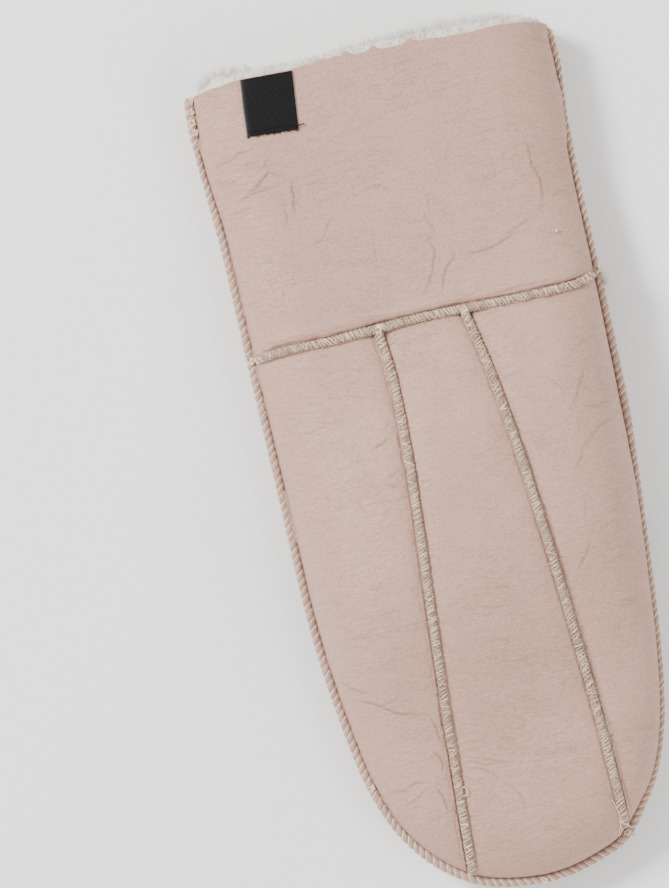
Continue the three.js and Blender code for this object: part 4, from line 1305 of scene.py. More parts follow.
@dataclass
class Finishes:
    """The materials that the pieces share."""

    nappa: Material
    thread: Material
    side_edge: Material
    seam_edge: Material
    wool: Material
    stray_wool: Material
    tape: Material

    @classmethod
    def mixed(cls) -> "Finishes":
        """Builds them all.

        Returns:
            The materials.
        """
        return cls(
            nappa=Nappa().material(),
            thread=Thread().material(),
            side_edge=SeamEdge("rolled_side_edge").material(),
            seam_edge=SeamEdge(
                "rolled_seam_edge", (0.36, 0.212, 0.142, 1.0), (0.66, 0.465, 0.335, 1.0),
                (0.065, 0.032, 0.019, 1.0),
            ).material(),
            wool=Wool().material(),
            stray_wool=Wool("stray_wool", (0.90, 0.72, 0.57, 1.0), (0.55, 0.40, 0.29, 1.0)).material(),
            tape=WovenTape().material(),
        )


@dataclass
class Panels:
    """What the panels of the back, the palm and the thumb have in common."""

    form: MittenForm
    finishes: Finishes
    cuff: PlanCurve
    step: float = 0.51
    cuff_size: Size = (119.0, 88.0)

    def lines(self, size: Size, left: float = 0.0, right: float = 0.0, top: float = 0.0,
              bottom: float = 0.0) -> Pair:
        """Where the lines of a panel lie across it and down it.

        Args:
            size: Its width and height in millimetres.
            left, right, top, bottom: Its rounding at each edge.

        Returns:
            Shares of the width, and shares of the height.
        """
        return fractions(size[0], self.step, left, right, 4), fractions(size[1], self.step, top, bottom, 4)

    def side_run(self, y: float, thumb: bool) -> float:
        """Length along the side seam to a height in plan, on the little finger's side or the thumb's."""
        side, sign, start = self.form.side, 1 if thumb else -1, 0.5 * thumb
        return side.run_where(lambda run: sign * (side.at(run)[:, 1] - y), start, start + 0.5)

    def off_cuff(self, seam: PlanCurve, aside: float = 0.0) -> float:
        """Length along a seam to where it, moved aside, leaves the cuff seam."""
        return seam.run_where(lambda run: self.below_cuff(seam.beside(run, aside)) - SEAM_INSET, 0.0, 1.0)

    def below_cuff(self, points: Array) -> Array:
        """How far points lie below the cuff seam."""
        return -self.cuff.distance(*points.T)

    def side_below_cuff(self, thumb: bool, gap: float) -> float:
        """Length along the side seam, from either end, to where it lies a gap below the cuff seam."""
        end = float(thumb)
        return self.form.side.run_where(lambda run: self.below_cuff(self.inside_side(run)) - gap, end, 0.5)

    def along_cuff(self, start: Array, end: Array, aside: float, shares: Array) -> Array:
        """Points along the cuff seam between two points, which are kept as its ends."""
        points = self.beside(self.cuff, self.cuff.nearest(start), self.cuff.nearest(end), aside, shares)
        return np.vstack([start, points[1:-1], end])

    def at_side(self, seam: PlanCurve, aside: float, end: bool, short: float = 0.0) -> float:
        """Length along a seam, moved aside, to where it ends or starts, short of the leather's edge."""
        reach = (0.7, 1.0) if end else (0.3, 0.0)
        return seam.run_where(lambda run: short - self.form.inside(*seam.beside(run, aside).T), *reach)

    def beside(self, seam: PlanCurve, start: float, end: float, aside: float, shares: Array) -> Array:
        """Points beside a stretch of a seam."""
        return seam.beside(start + (end - start) * shares, aside)

    def along_side(self, start: float, end: float, shares: Array) -> Array:
        """Points inside a stretch of the side seam, where the leather begins."""
        return self.inside_side(start + (end - start) * shares)

    def inside_side(self, runs: Array) -> Array:
        """Points inside the side seam, where the leather begins."""
        at = self.form.side.at(runs)
        return self.form.side.beside(runs, self.form.inset(at[:, 0], at[:, 1])[:, None])

    def cuff_plan(self, rounding: float) -> Array:
        """Plan of the cuff, from the mouth down to the cuff seam.

        Args:
            rounding: How far the leather rounds into the side seam.

        Returns:
            A grid of plan points.
        """
        side = self.form.side
        ends = [self.side_below_cuff(thumb, -SEAM_INSET) for thumb in (False, True)]
        across, down = self.lines(self.cuff_size, rounding, rounding)
        left = self.inside_side(ends[0] * down)
        right = self.inside_side(side.length + (ends[1] - side.length) * down)
        x = left[0, 0] + (right[0, 0] - left[0, 0]) * across
        top = np.stack([x, self.form.mouth_y(x)], -1)
        top[0], top[-1] = left[0], right[0]
        return coons(left, right, top, self.along_cuff(left[-1], right[-1], SEAM_INSET, across), across, down)

    def add_leather(self, name: str, plan: Array, face: Callable[[Array, Array], Pair],
                    facing: int, node: str) -> None:
        """Makes a panel of leather over its plan."""
        z, crease = face(plan[..., 0], plan[..., 1])
        add_piece(name, skin(plan, z, crease, facing, LEATHER), self.finishes.nappa, Slot.NAPPA, node)


@dataclass
class BackPanels(Panels):
    """The cuff and the three long panels of the back."""

    corner: float = 0.3
    tip_rounding: float = 6.0
    outer_size: Size = (41.0, 184.0)
    middle_size: Size = (44.0, 186.0)
    inner_size: Size = (34.0, 180.0)

    def build(self) -> None:
        """Makes the four panels."""
        rows = [
            ("cuff", self.cuff_plan(BACK_ROUNDING), "back_cuff"),
            ("outer", self.outer_plan(), "back_panel_outer"),
            ("middle", self.middle_plan(), "back_panel_middle"),
            ("inner", self.inner_plan(), "back_panel_inner"),
        ]
        for name, plan, node in rows:
            self.add_leather(name + "_back_leather", plan, self.form.back, 1, node)

    def _long_edge(self, seam: PlanCurve, aside: float, short: float, shares: Array) -> Array:
        """The edge beside a long seam, from the cuff seam to near the side seam."""
        start, end = self.off_cuff(seam, aside), self.at_side(seam, aside, True, short)
        return self.beside(seam, start, end, aside, shares)

    def outer_plan(self) -> Array:
        """Plan of the panel on the little finger's side.

        Returns:
            A grid of plan points.
        """
        form = self.form
        across, down = self.lines(self.outer_size, left=BACK_ROUNDING, bottom=self.tip_rounding)
        right = self._long_edge(form.outer, -SEAM_INSET, self.corner, down)
        start = self.side_below_cuff(False, SEAM_INSET)
        end = form.side.nearest(right[-1] - self.corner)
        left = self.along_side(start, end, down)
        top = self.along_cuff(left[0], right[0], -SEAM_INSET, across)
        return coons(left, right, top, straight(left[-1], right[-1], across), across, down)

    def middle_plan(self) -> Array:
        """Plan of the panel between the two long seams.

        Returns:
            A grid of plan points.
        """
        form = self.form
        across, down = self.lines(self.middle_size, bottom=BACK_ROUNDING)
        left = self._long_edge(form.outer, SEAM_INSET, 0.0, down)
        right = self._long_edge(form.inner, -SEAM_INSET, 0.0, down)
        bottom = self.along_side(form.side.nearest(left[-1]), form.side.nearest(right[-1]), across)
        bottom[0], bottom[-1] = left[-1], right[-1]
        top = self.along_cuff(left[0], right[0], -SEAM_INSET, across)
        return coons(left, right, top, bottom, across, down)

    def inner_plan(self) -> Array:
        """Plan of the panel on the thumb's side.

        Returns:
            A grid of plan points.
        """
        form = self.form
        across, down = self.lines(self.inner_size, right=BACK_ROUNDING, bottom=self.tip_rounding)
        left = self._long_edge(form.inner, SEAM_INSET, self.corner, down)
        start = self.side_below_cuff(True, SEAM_INSET)
        end = form.side.nearest(left[-1] + (self.corner, -self.corner))
        right = self.along_side(start, end, down)
        top = self.along_cuff(left[0], right[0], -SEAM_INSET, across)
        return coons(left, right, top, straight(left[-1], right[-1], across), across, down)


@dataclass
class PalmPanels(Panels):
    """The palm: its cuff, heel, gusset, band and fingertips."""

    step: float = 1.1
    heel_size: Size = (48.0, 86.0)
    gusset_size: Size = (60.0, 84.0)
    band_size: Size = (112.0, 44.0)
    fingertip_size: Size = (104.0, 72.0)
    tip_corners_x: Size = (-35.0, 39.0)

    def build(self) -> None:
        """Makes the five panels."""
        rows = [
            ("cuff_palm", self.cuff_plan(PALM_ROUNDING), "palm_cuff"),
            ("heel", self.heel_plan(), "palm_heel"),
            ("gusset", self.gusset_plan(), "thumb_gusset"),
            ("band", self.band_plan(), "palm_band"),
            ("fingertip", self.fingertip_plan(), "palm_fingertip"),
        ]
        for name, plan, node in rows:
            self.add_leather(name + "_leather", plan, self.form.palm, -1, node)

    def _beside_gusset(self, foot_y: float, aside: float, shares: Array) -> Array:
        """The edge beside the gusset's seam, down to a height in plan."""
        end = self.form.gusset.run_where(lambda run: foot_y - self.form.gusset.at(run)[:, 1], 0.0, 1.0)
        return self.beside(self.form.gusset, self.off_cuff(self.form.gusset, aside), end, aside, shares)

    def heel_plan(self) -> Array:
        """Plan of the heel of the hand.

        Returns:
            A grid of plan points.
        """
        form = self.form
        across, down = self.lines(self.heel_size, left=PALM_ROUNDING)
        crossing = form.heel.nearest(GUSSET_FOOT)
        start = self.at_side(form.heel, SEAM_INSET, False)
        bottom = self.beside(form.heel, start, crossing - SEAM_INSET, SEAM_INSET, across)
        top_run = self.side_run(CUFF_SEAM_Y - SEAM_INSET, False)
        left = self.along_side(top_run, form.side.nearest(bottom[0]), down)
        right = self._beside_gusset(bottom[-1, 1], -SEAM_INSET, down)
        left[-1], right[-1] = bottom[0], bottom[-1]
        return coons(left, right, straight(left[0], right[0], across), bottom, across, down)

    def gusset_plan(self) -> Array:
        """Plan of the gusset beside the thumb's upper edge and over its root.

        Returns:
            A grid of plan points.
        """
        form, thumb = self.form, self.form.thumb
        across, down = self.lines(self.gusset_size, right=PALM_ROUNDING)
        crossing = form.heel.nearest(GUSSET_FOOT)
        low = form.heel.run_where(lambda run: form.heel.at(run)[:, 0] - THUMB_ROOT_X, 0.5, 1.0)
        bottom = self.beside(form.heel, crossing + SEAM_INSET, low, SEAM_INSET, across)
        left = self._beside_gusset(bottom[0, 1], SEAM_INSET, down)
        start = self.at_side(thumb, -SEAM_INSET, False)
        root = thumb.run_where(lambda run: THUMB_ROOT_X - thumb.at(run)[:, 0], 0.0, 0.3)
        corner = self.inside_side(np.array([self.side_run(CUFF_SEAM_Y - SEAM_INSET, True)]))
        upper = thumb.beside(np.linspace(start, root, 6), -SEAM_INSET)
        chain = np.vstack([corner, upper, bottom[-1:]])
        legs = np.concatenate([[0], np.cumsum(np.linalg.norm(np.diff(chain, axis=0), axis=1))])
        right = np.stack([np.interp(down * legs[-1], legs, chain[:, k]) for k in (0, 1)], -1)
        left[-1] = bottom[0]
        return coons(left, right, straight(left[0], right[0], across), bottom, across, down)

    def _across_palm(self, seam: PlanCurve, aside: float, shares: Array) -> Array:
        """The edge beside a seam that runs right across the palm."""
        ends = [self.at_side(seam, aside, end) for end in (False, True)]
        return self.beside(seam, ends[0], ends[1], aside, shares)

    def band_plan(self) -> Array:
        """Plan of the band under the fingers.

        Returns:
            A grid of plan points.
        """
        side = self.form.side
        across, down = self.lines(self.band_size, PALM_ROUNDING, PALM_ROUNDING)
        top = self._across_palm(self.form.heel, -SEAM_INSET, across)
        bottom = self._across_palm(self.form.fingertip, SEAM_INSET, across)
        ends = [(side.nearest(top[k]), side.nearest(bottom[k])) for k in (0, -1)]
        left, right = (self.along_side(*pair, down) for pair in ends)
        return coons(left, right, top, bottom, across, down)

    def fingertip_plan(self) -> Array:
        """Plan of the fingertips.

        Returns:
            A grid of plan points.
        """
        side = self.form.side
        corner = 0.6 * PALM_ROUNDING
        across, down = self.lines(self.fingertip_size, corner, corner, bottom=PALM_ROUNDING)
        top = self._across_palm(self.form.fingertip, -SEAM_INSET, across)
        corners = [
            side.run_where(lambda run: side.at(run)[:, 0] - self.tip_corners_x[0], 0.3, 0.5),
            side.run_where(lambda run: side.at(run)[:, 0] - self.tip_corners_x[1], 0.5, 0.7),
        ]
        ends = [(side.nearest(top[k]), run) for k, run in zip((0, -1), corners)]
        left, right = (self.along_side(*pair, down) for pair in ends)
        bottom = self.along_side(*corners, across)
        return coons(left, right, top, bottom, across, down)


@dataclass
class ThumbStall(Panels):
    """The thumb, folded flat between the palm and the table."""

    step: float = 0.9
    size: Size = (90.0, 42.0)
    tip_upper_x: float = -29.0
    tip_lower_y: float = -51.5

    def build(self) -> None:
        """Makes the thumb's two faces."""
        thumb = self.form.thumb
        sides = [self.at_side(thumb, THUMB_INSET, end) for end in (False, True)]
        roots = [
            thumb.run_where(lambda run: THUMB_ROOT_X - thumb.at(run)[:, 0], 0.0, 0.3),
            thumb.run_where(lambda run: thumb.at(run)[:, 0] - THUMB_ROOT_X, 0.7, 1.0),
        ]
        self.add_leather(
            "thumb_lower_leather", self.face_plan(sides, True),
            lambda x, y: self.form.thumb_face(x, y, True), -1, "thumb_under",
        )
        self.add_leather(
            "thumb_upper_leather", self.face_plan(roots, False),
            lambda x, y: self.form.thumb_face(x, y, False), 1, "thumb_upper",
        )

    def face_plan(self, ends: Sequence[float], along_side: bool) -> Array:
        """Plan of a face of the thumb.

        Args:
            ends: Lengths along the outline at which the upper and the lower edge end.
            along_side: Whether the face is closed along the side seam, or by a straight edge.

        Returns:
            A grid of plan points.
        """
        thumb, side = self.form.thumb, self.form.side
        root = PALM_ROUNDING if along_side else 0.0
        across, down = self.lines(self.size, THUMB_ROUNDING, root, THUMB_ROUNDING, THUMB_ROUNDING)
        tips = [
            thumb.run_where(lambda run: self.tip_upper_x - thumb.at(run)[:, 0], 0.0, 0.5),
            thumb.run_where(lambda run: self.tip_lower_y - thumb.at(run)[:, 1], 0.0, 0.56),
        ]
        top = self.beside(thumb, tips[0], ends[0], THUMB_INSET, across)
        bottom = self.beside(thumb, tips[1], ends[1], THUMB_INSET, across)
        left = self.beside(thumb, tips[0], tips[1], THUMB_INSET, down)
        if along_side:
            start, end = side.nearest(top[-1]), side.nearest(bottom[-1])
            right = self.along_side(start, end, down)
            right[0], right[-1] = top[-1], bottom[-1]
        else:
            right = straight(top[-1], bottom[-1], down)
        return coons(left, right, top, bottom, across, down)


@dataclass
class Seams:
    """All the sewn seams: the whipped side seam, and the welts of the back, the palm and the thumb."""

    form: MittenForm
    finishes: Finishes
    side_pitch: float = 2.7
    seam_pitch: float = 1.15
    side_top_y: float = 134.6
    heel_end_x: float = 31.0
    into_side: float = 0.6
    tip_into_side: float = 0.4
    into_cuff: float = 0.8
    back_fuzz: float = 7.5
    palm_fuzz: float = 1.0

    def build(self) -> None:
        """Makes each seam's roll and its stitches."""
        form, panels = self.form, Panels(self.form, self.finishes, self.form.back_cuff)

        def on_back(x: Array, y: Array) -> Array:
            """Height of a welt on the back."""
            inside = form.inside(x, y)
            return form.smooth_back(x, y) - 1.1 * smoothstep(0.5, 9, inside) + 0.25

        def on_palm(x: Array, y: Array) -> Array:
            """Height of a welt on the palm, kept above the table and under the side seam's roll."""
            sunk, under = form.palm(x, y)[0] + 0.9, form.seam_z(x, y) - WELT_RADIUS - LIPS_APART
            return np.maximum(WELT_RADIUS + 0.5,
                              np.where(form.inside(x, y) < 6, np.minimum(sunk, under), sunk))

        def across(seam: PlanCurve) -> tuple[float, float]:
            """Where a seam from side to side starts and ends."""
            start, end = (panels.at_side(seam, 0.0, at_end, -self.into_side) for at_end in (False, True))
            return start, end

        def cuff_to_tip(seam: PlanCurve) -> tuple[float, float]:
            """Where a seam from the cuff to the fingertips starts and ends."""
            start, end = panels.off_cuff(seam), panels.at_side(seam, 0.0, True, -self.tip_into_side)
            return start - self.into_cuff, end

        thumb_ends = [panels.at_side(form.thumb, 0.0, end) for end in (False, True)]
        heel_end = form.heel.run_where(lambda run: form.heel.at(run)[:, 0] - self.heel_end_x, 0.5, 1.0)
        rows = [
            # name, curve, height, ends, node, seed
            ("cuff_back_seam", form.back_cuff, on_back, across(form.back_cuff), "cuff_welt_back", 21),
            ("outer_back_seam", form.outer, on_back, cuff_to_tip(form.outer), "back_welt_outer", 22),
            ("inner_back_seam", form.inner, on_back, cuff_to_tip(form.inner), "back_welt_inner", 23),
            ("cuff_palm_seam", form.palm_cuff, on_palm, across(form.palm_cuff), "cuff_welt_palm", 24),
            ("gusset_seam", form.gusset, on_palm, (panels.off_cuff(form.gusset), form.gusset.length - 1.5),
             "gusset_welt", 25),
            ("heel_seam", form.heel, on_palm, (across(form.heel)[0], heel_end), "heel_welt", 26),
            ("fingertip_seam", form.fingertip, on_palm, across(form.fingertip), "fingertip_welt", 27),
        ]
        for name, curve, height, ends, node, seed in rows:
            self.add_welt(name, SeamPath(curve, height, *ends), node, seed)
        side_end = panels.side_run(self.side_top_y, True)
        self.add_whipped("side_seam", SeamPath(form.side, form.seam_z, 0.0, side_end), "side_welt", 31)
        self.add_whipped("thumb_seam", SeamPath(form.thumb, form.thumb_seam_z, *thumb_ends), "thumb_welt", 32)

    def add_whipped(self, name: str, path: SeamPath, node: str, seed: int) -> None:
        """Makes a seam whipped over the outer edge: a leather roll with thin slanting stitches.

        Args:
            name: First words of its pieces' names.
            path: Where it runs.
            node: The node that it stands for.
            seed: Picks its unevenness.
        """
        seam = RolledSeam(
            path, ROLL_RADIUS, self.side_pitch, -3.3, 0.25, math.radians(-150), math.radians(150),
            bulge=0.16, jitter=0.07, tone=0.05, tone_spread=0.12, sides=14, seed=seed,
            widths=[(share, radius / ROLL_RADIUS) for share, radius in SIDE_ROLL],
        )
        if name == "thumb_seam":
            seam.turn_start, seam.turn_end, seam.slant = math.radians(30), math.radians(330), 3.3
            seam.widths = ((0, 0.9), (1, 0.9))
        add_piece(name + "_roll", seam.roll(), self.finishes.side_edge, Slot.NAPPA, node)
        add_piece(name + "_stitches", seam.stitches(), self.finishes.thread, Slot.THREAD)

    def add_welt(self, name: str, path: SeamPath, node: str, seed: int) -> None:
        """Makes a raised seam between panels: a fluffy roll, closely whipped, with a loose finer thread.

        Args:
            name: First words of its pieces' names.
            path: Where it runs.
            node: The node that it stands for.
            seed: Picks its unevenness.
        """
        down = "palm" in name or node in ("gusset_welt", "heel_welt", "fingertip_welt")
        turns = (math.radians(175), math.radians(365)) if down else (math.radians(-5), math.radians(185))
        seam = RolledSeam(
            path, WELT_RADIUS, self.seam_pitch, -1.9, 0.2, *turns,
            bulge=0.18, jitter=0.24, tilt_spread=0.4, tone=0.25, tone_spread=0.45, rough=0.2, sides=12,
            seed=seed,
        )
        loose = RolledSeam(
            path, WELT_RADIUS, 3.7 * self.seam_pitch, 1.6, 0.16, *turns,
            bulge=0.05, jitter=0.35, tilt_spread=0.6, tone=0.3, tone_spread=0.4, seed=seed + 50,
        )
        add_piece(name + "_roll", seam.roll(), self.finishes.seam_edge, Slot.THREAD, node)
        fuzz = self._fuzz(seam, self.palm_fuzz if down else self.back_fuzz)
        threads = MeshData.joined([seam.stitches(), loose.stitches(), fuzz])
        add_piece(name + "_stitches", threads, self.finishes.thread, Slot.THREAD)

    def _fuzz(self, seam: RolledSeam, dense: float) -> MeshData:
        """Short ends of thread and wool that lie over a welt and stand out of it.

        Args:
            seam: The welt.
            dense: How many there are on a millimetre.

        Returns:
            Their mesh.
        """
        rng = np.random.default_rng(seam.seed + 100)
        path = seam.path
        count = int(dense * (path.end - path.start))
        run = rng.uniform(path.start + 1, path.end - 1, count)
        angle = rng.uniform(seam.turn_start, seam.turn_end, count)
        root = path.round_it(run, angle, np.full(count, 1.02 * seam.radius))
        outward = (root - path.spine(run)) / seam.radius
        ways = rng.normal(0, 1.0, (count, 3))
        ways = unit(ways + (0.25 - np.sum(ways * outward, axis=1, keepdims=True)) * outward)
        return curled_fibres(root, ways, rng.uniform(0.4, 1.0, count), rng, 0.105, 0.08, 3, "tone")


@dataclass
class Fleece:
    """The wool in the cuff: a thick uneven pile on each side, and the fibres that stand out of it."""

    form: MittenForm
    finishes: Finishes
    skin: float = 1.7
    pile: float = 5.4
    fibres: int = 1100
    width: float = 119.0
    highest_y: float = 137.0

    REACH = (
        # x, how far the wool stands out of the mouth
        (-61, 4), (-56, 6.5), (-50, 5), (-42, 4.8), (-38, 2.2), (-26, 1.6), (-14, 1.8), (-8, 3.6),
        (8, 4.6), (22, 5.2), (34, 5), (46, 3.8), (54, 2.6), (61, 1.6),
    )

    def build(self) -> None:
        """Makes the back's and the palm's fleece."""
        self.add_side("fleece_back", self.form.smooth_back, 1, 41)
        self.add_side("fleece_palm", self.form.smooth_palm, -1, 42)

    def _profile(self) -> tuple[Array, Array, Array]:
        """Section of the pile along the mitten.

        Returns:
            Distances past the mouth's edge, depths under the outer face, and how wild each point is.
        """
        back = np.arange(-86.0, -2.0, 6.0)
        turn = np.linspace(-math.pi / 2, math.pi / 2, 9)[1:-1]
        fine, coarse = np.arange(-2.0, -46.0, -1.0), np.arange(-46.0, -86.1, -4.0)
        half = self.pile / 2
        past = np.concatenate([back, -2.0 + 0 * turn[:1], 1.3 * np.cos(turn), fine, coarse])
        inner = 0 * np.concatenate([fine, coarse]) + self.pile
        depth = np.concatenate([0 * back, [0.0], half + half * np.sin(turn), inner])
        wild = [0 * back, [0.2], 0.5 + 0.5 * np.sin(turn) ** 2, 0 * fine + 1, 0 * coarse + 0.8]
        return past, depth + self.skin, np.concatenate(wild)

    def add_side(self, name: str, height: HeightField, facing: int, seed: int) -> None:
        """Makes one side's pile and fibres.

        Args:
            name: The node and the piece's name.
            height: The leather's outer face.
            facing: 1 for the back, -1 for the palm.
            seed: Picks the curls.
        """
        form = self.form
        past, depth, wild = self._profile()
        shares = fractions(self.width, 0.95, 12.0, 12.0, 1)
        y = MOUTH_Y + past[:, None] + 0 * shares
        panels = Panels(form, self.finishes, form.back_cuff)
        sides = []
        for thumb in (False, True):
            runs = [panels.side_run(v, thumb) for v in np.minimum(y[:, 0], self.highest_y)]
            sides.append(panels.inside_side(np.array(runs))[:, 0] + (-0.4 if thumb else 0.4))
        left, right = sides
        x = left[:, None] + (right - left)[:, None] * shares
        y = y + (form.mouth_line(x) - MOUTH_Y) * smoothstep(-12, 0, past)[:, None]
        z, normal = self._surface(x, np.minimum(y, self.highest_y), height, facing)
        noise = SoftNoise(seed)
        curls = noise.layered(x, y + 0.7 * depth[:, None], 3.2, 2) + 0.6 * noise.at(x, y, 7.0)
        inward = depth[:, None] + 0.75 * wild[:, None] * curls
        points = np.dstack([x, y, z]) - normal * inward[..., None]
        lip = form.seam_z(x, np.minimum(y, self.highest_y)) - 0.6 * facing
        to_side = form.to_side(x, np.minimum(y, 136.0))
        sunk = (1 - smoothstep(1.5, 6.0, to_side)) * np.clip((depth - self.skin) / self.pile, 0, 1)[:, None]
        points[..., 2] += (lip - points[..., 2]) * sunk
        clamp = np.maximum if facing > 0 else np.minimum
        points[..., 2] = np.where(to_side < self.pile + 3, clamp(points[..., 2], lip), points[..., 2])
        reach = np.interp(x, *zip(*self.REACH))
        front = (past > -1.0) & (past < 2.0)
        tufted = 0.6 + 0.55 * noise.layered(x, 1.5 * depth[:, None] + 0 * x, 2.4, 2)
        points[front, :, 1] += (0.45 * reach * tufted)[front]
        # Painted shade, darker where the curls leave a hollow in the pile
        mesh = self._closed(points, facing, 0.5 - 0.5 * curls)
        rng = np.random.default_rng(seed)
        fringe = self._fibres(points, normal, past, reach, rng)
        add_piece(name + "_pile", mesh, self.finishes.wool, Slot.WOOL, name)
        add_piece(name + "_fibres", fringe, self.finishes.wool, Slot.WOOL)

    def _surface(self, x: Array, y: Array, height: HeightField, facing: int) -> Pair:
        """Measures the leather's outer face.

        Args:
            x, y: Places in plan.
            height: The face's height.
            facing: 1 for the back, -1 for the palm.

        Returns:
            Heights and normals.
        """
        z = height(x, y)
        d = 0.25
        slope_x = (height(x + d, y) - height(x - d, y)) / (2 * d)
        slope_y = (height(x, y + d) - height(x, y - d)) / (2 * d)
        normal = np.dstack([-slope_x, -0.2 * slope_y, np.ones(x.shape)])
        return z, facing * unit(normal)

    def _closed(self, points: Array, facing: int, shade: Array) -> MeshData:
        """Closes the pile's section into a loop and caps its two ends.

        Args:
            points: Its rows of points.
            facing: 1 for the back, -1 for the palm.
            shade: Painted shade at each point, in the pile's hollows.

        Returns:
            Its mesh.
        """
        rows, columns = points.shape[:2]
        index = np.arange(rows * columns).reshape(rows, columns)
        ahead = np.roll(index, -1, axis=0)
        quads = np.stack([index[:, :-1], ahead[:, :-1], ahead[:, 1:], index[:, 1:]], -1).reshape(-1, 4)
        pairs = [(k, rows - 1 - k) for k in range(rows // 2 - 1)]
        first = [(index[a, 0], index[b, 0], index[b - 1, 0], index[a + 1, 0]) for a, b in pairs]
        last = [(index[a, -1], index[a + 1, -1], index[b - 1, -1], index[b, -1]) for a, b in pairs]
        mid = rows // 2
        tris = np.array([(index[mid - 1, 0], index[mid + 1, 0], index[mid, 0]),
                         (index[mid - 1, -1], index[mid, -1], index[mid + 1, -1])])
        quads = np.vstack([quads, first, last])
        if facing < 0:
            quads, tris = quads[:, ::-1], tris[:, ::-1]
        return MeshData(points.reshape(-1, 3), quads, tris, {"crease": np.clip(shade, 0, 1).ravel()})

    def _fibres(self, points: Array, normal: Array, past: Array, reach: Array,
                rng: np.random.Generator) -> MeshData:
        """Fibres out of the mouth and along the inside of the pile.

        Args:
            points, normal: The pile's points, and the leather's normals there.
            past: How far past the mouth each row lies.
            reach: How far the wool stands out of the mouth.
            rng: Source of the curls.

        Returns:
            Their mesh.
        """
        rows = np.nonzero((past > -1.5) & (past < 2.0))[0]
        inner = np.nonzero(np.arange(len(past)) > rows[-1])[0]
        inner = inner[past[inner] > -40]
        pick = rng.choice(rows, self.fibres), rng.integers(0, points.shape[1], self.fibres)
        ways = np.array([0.0, 1.0, 0.0]) + rng.normal(0, 0.33, (self.fibres, 3))
        ways = unit(ways - 0.25 * normal[pick])
        roots = points[pick] - 1.0 * ways + rng.normal(0, 0.3, (self.fibres, 3))
        lengths = 1.2 + (0.35 + 0.45 * rng.random(self.fibres)) * reach[pick]
        fringe = curled_fibres(roots, ways, lengths, rng, 0.085, 0.45)
        share = inner[np.minimum((rng.random(self.fibres) ** 1.6 * len(inner)).astype(int), len(inner) - 1)]
        pick = share, rng.integers(0, points.shape[1], self.fibres)
        ways = unit(-normal[pick] + np.array([0.0, 0.7, 0.0]) + rng.normal(0, 0.45, (self.fibres, 3)))
        lengths = rng.uniform(1.4, 3.0, self.fibres)
        pile = curled_fibres(points[pick] - 0.6 * ways, ways, lengths, rng, 0.13, 0.6, 6)
        return MeshData.joined([fringe, pile])


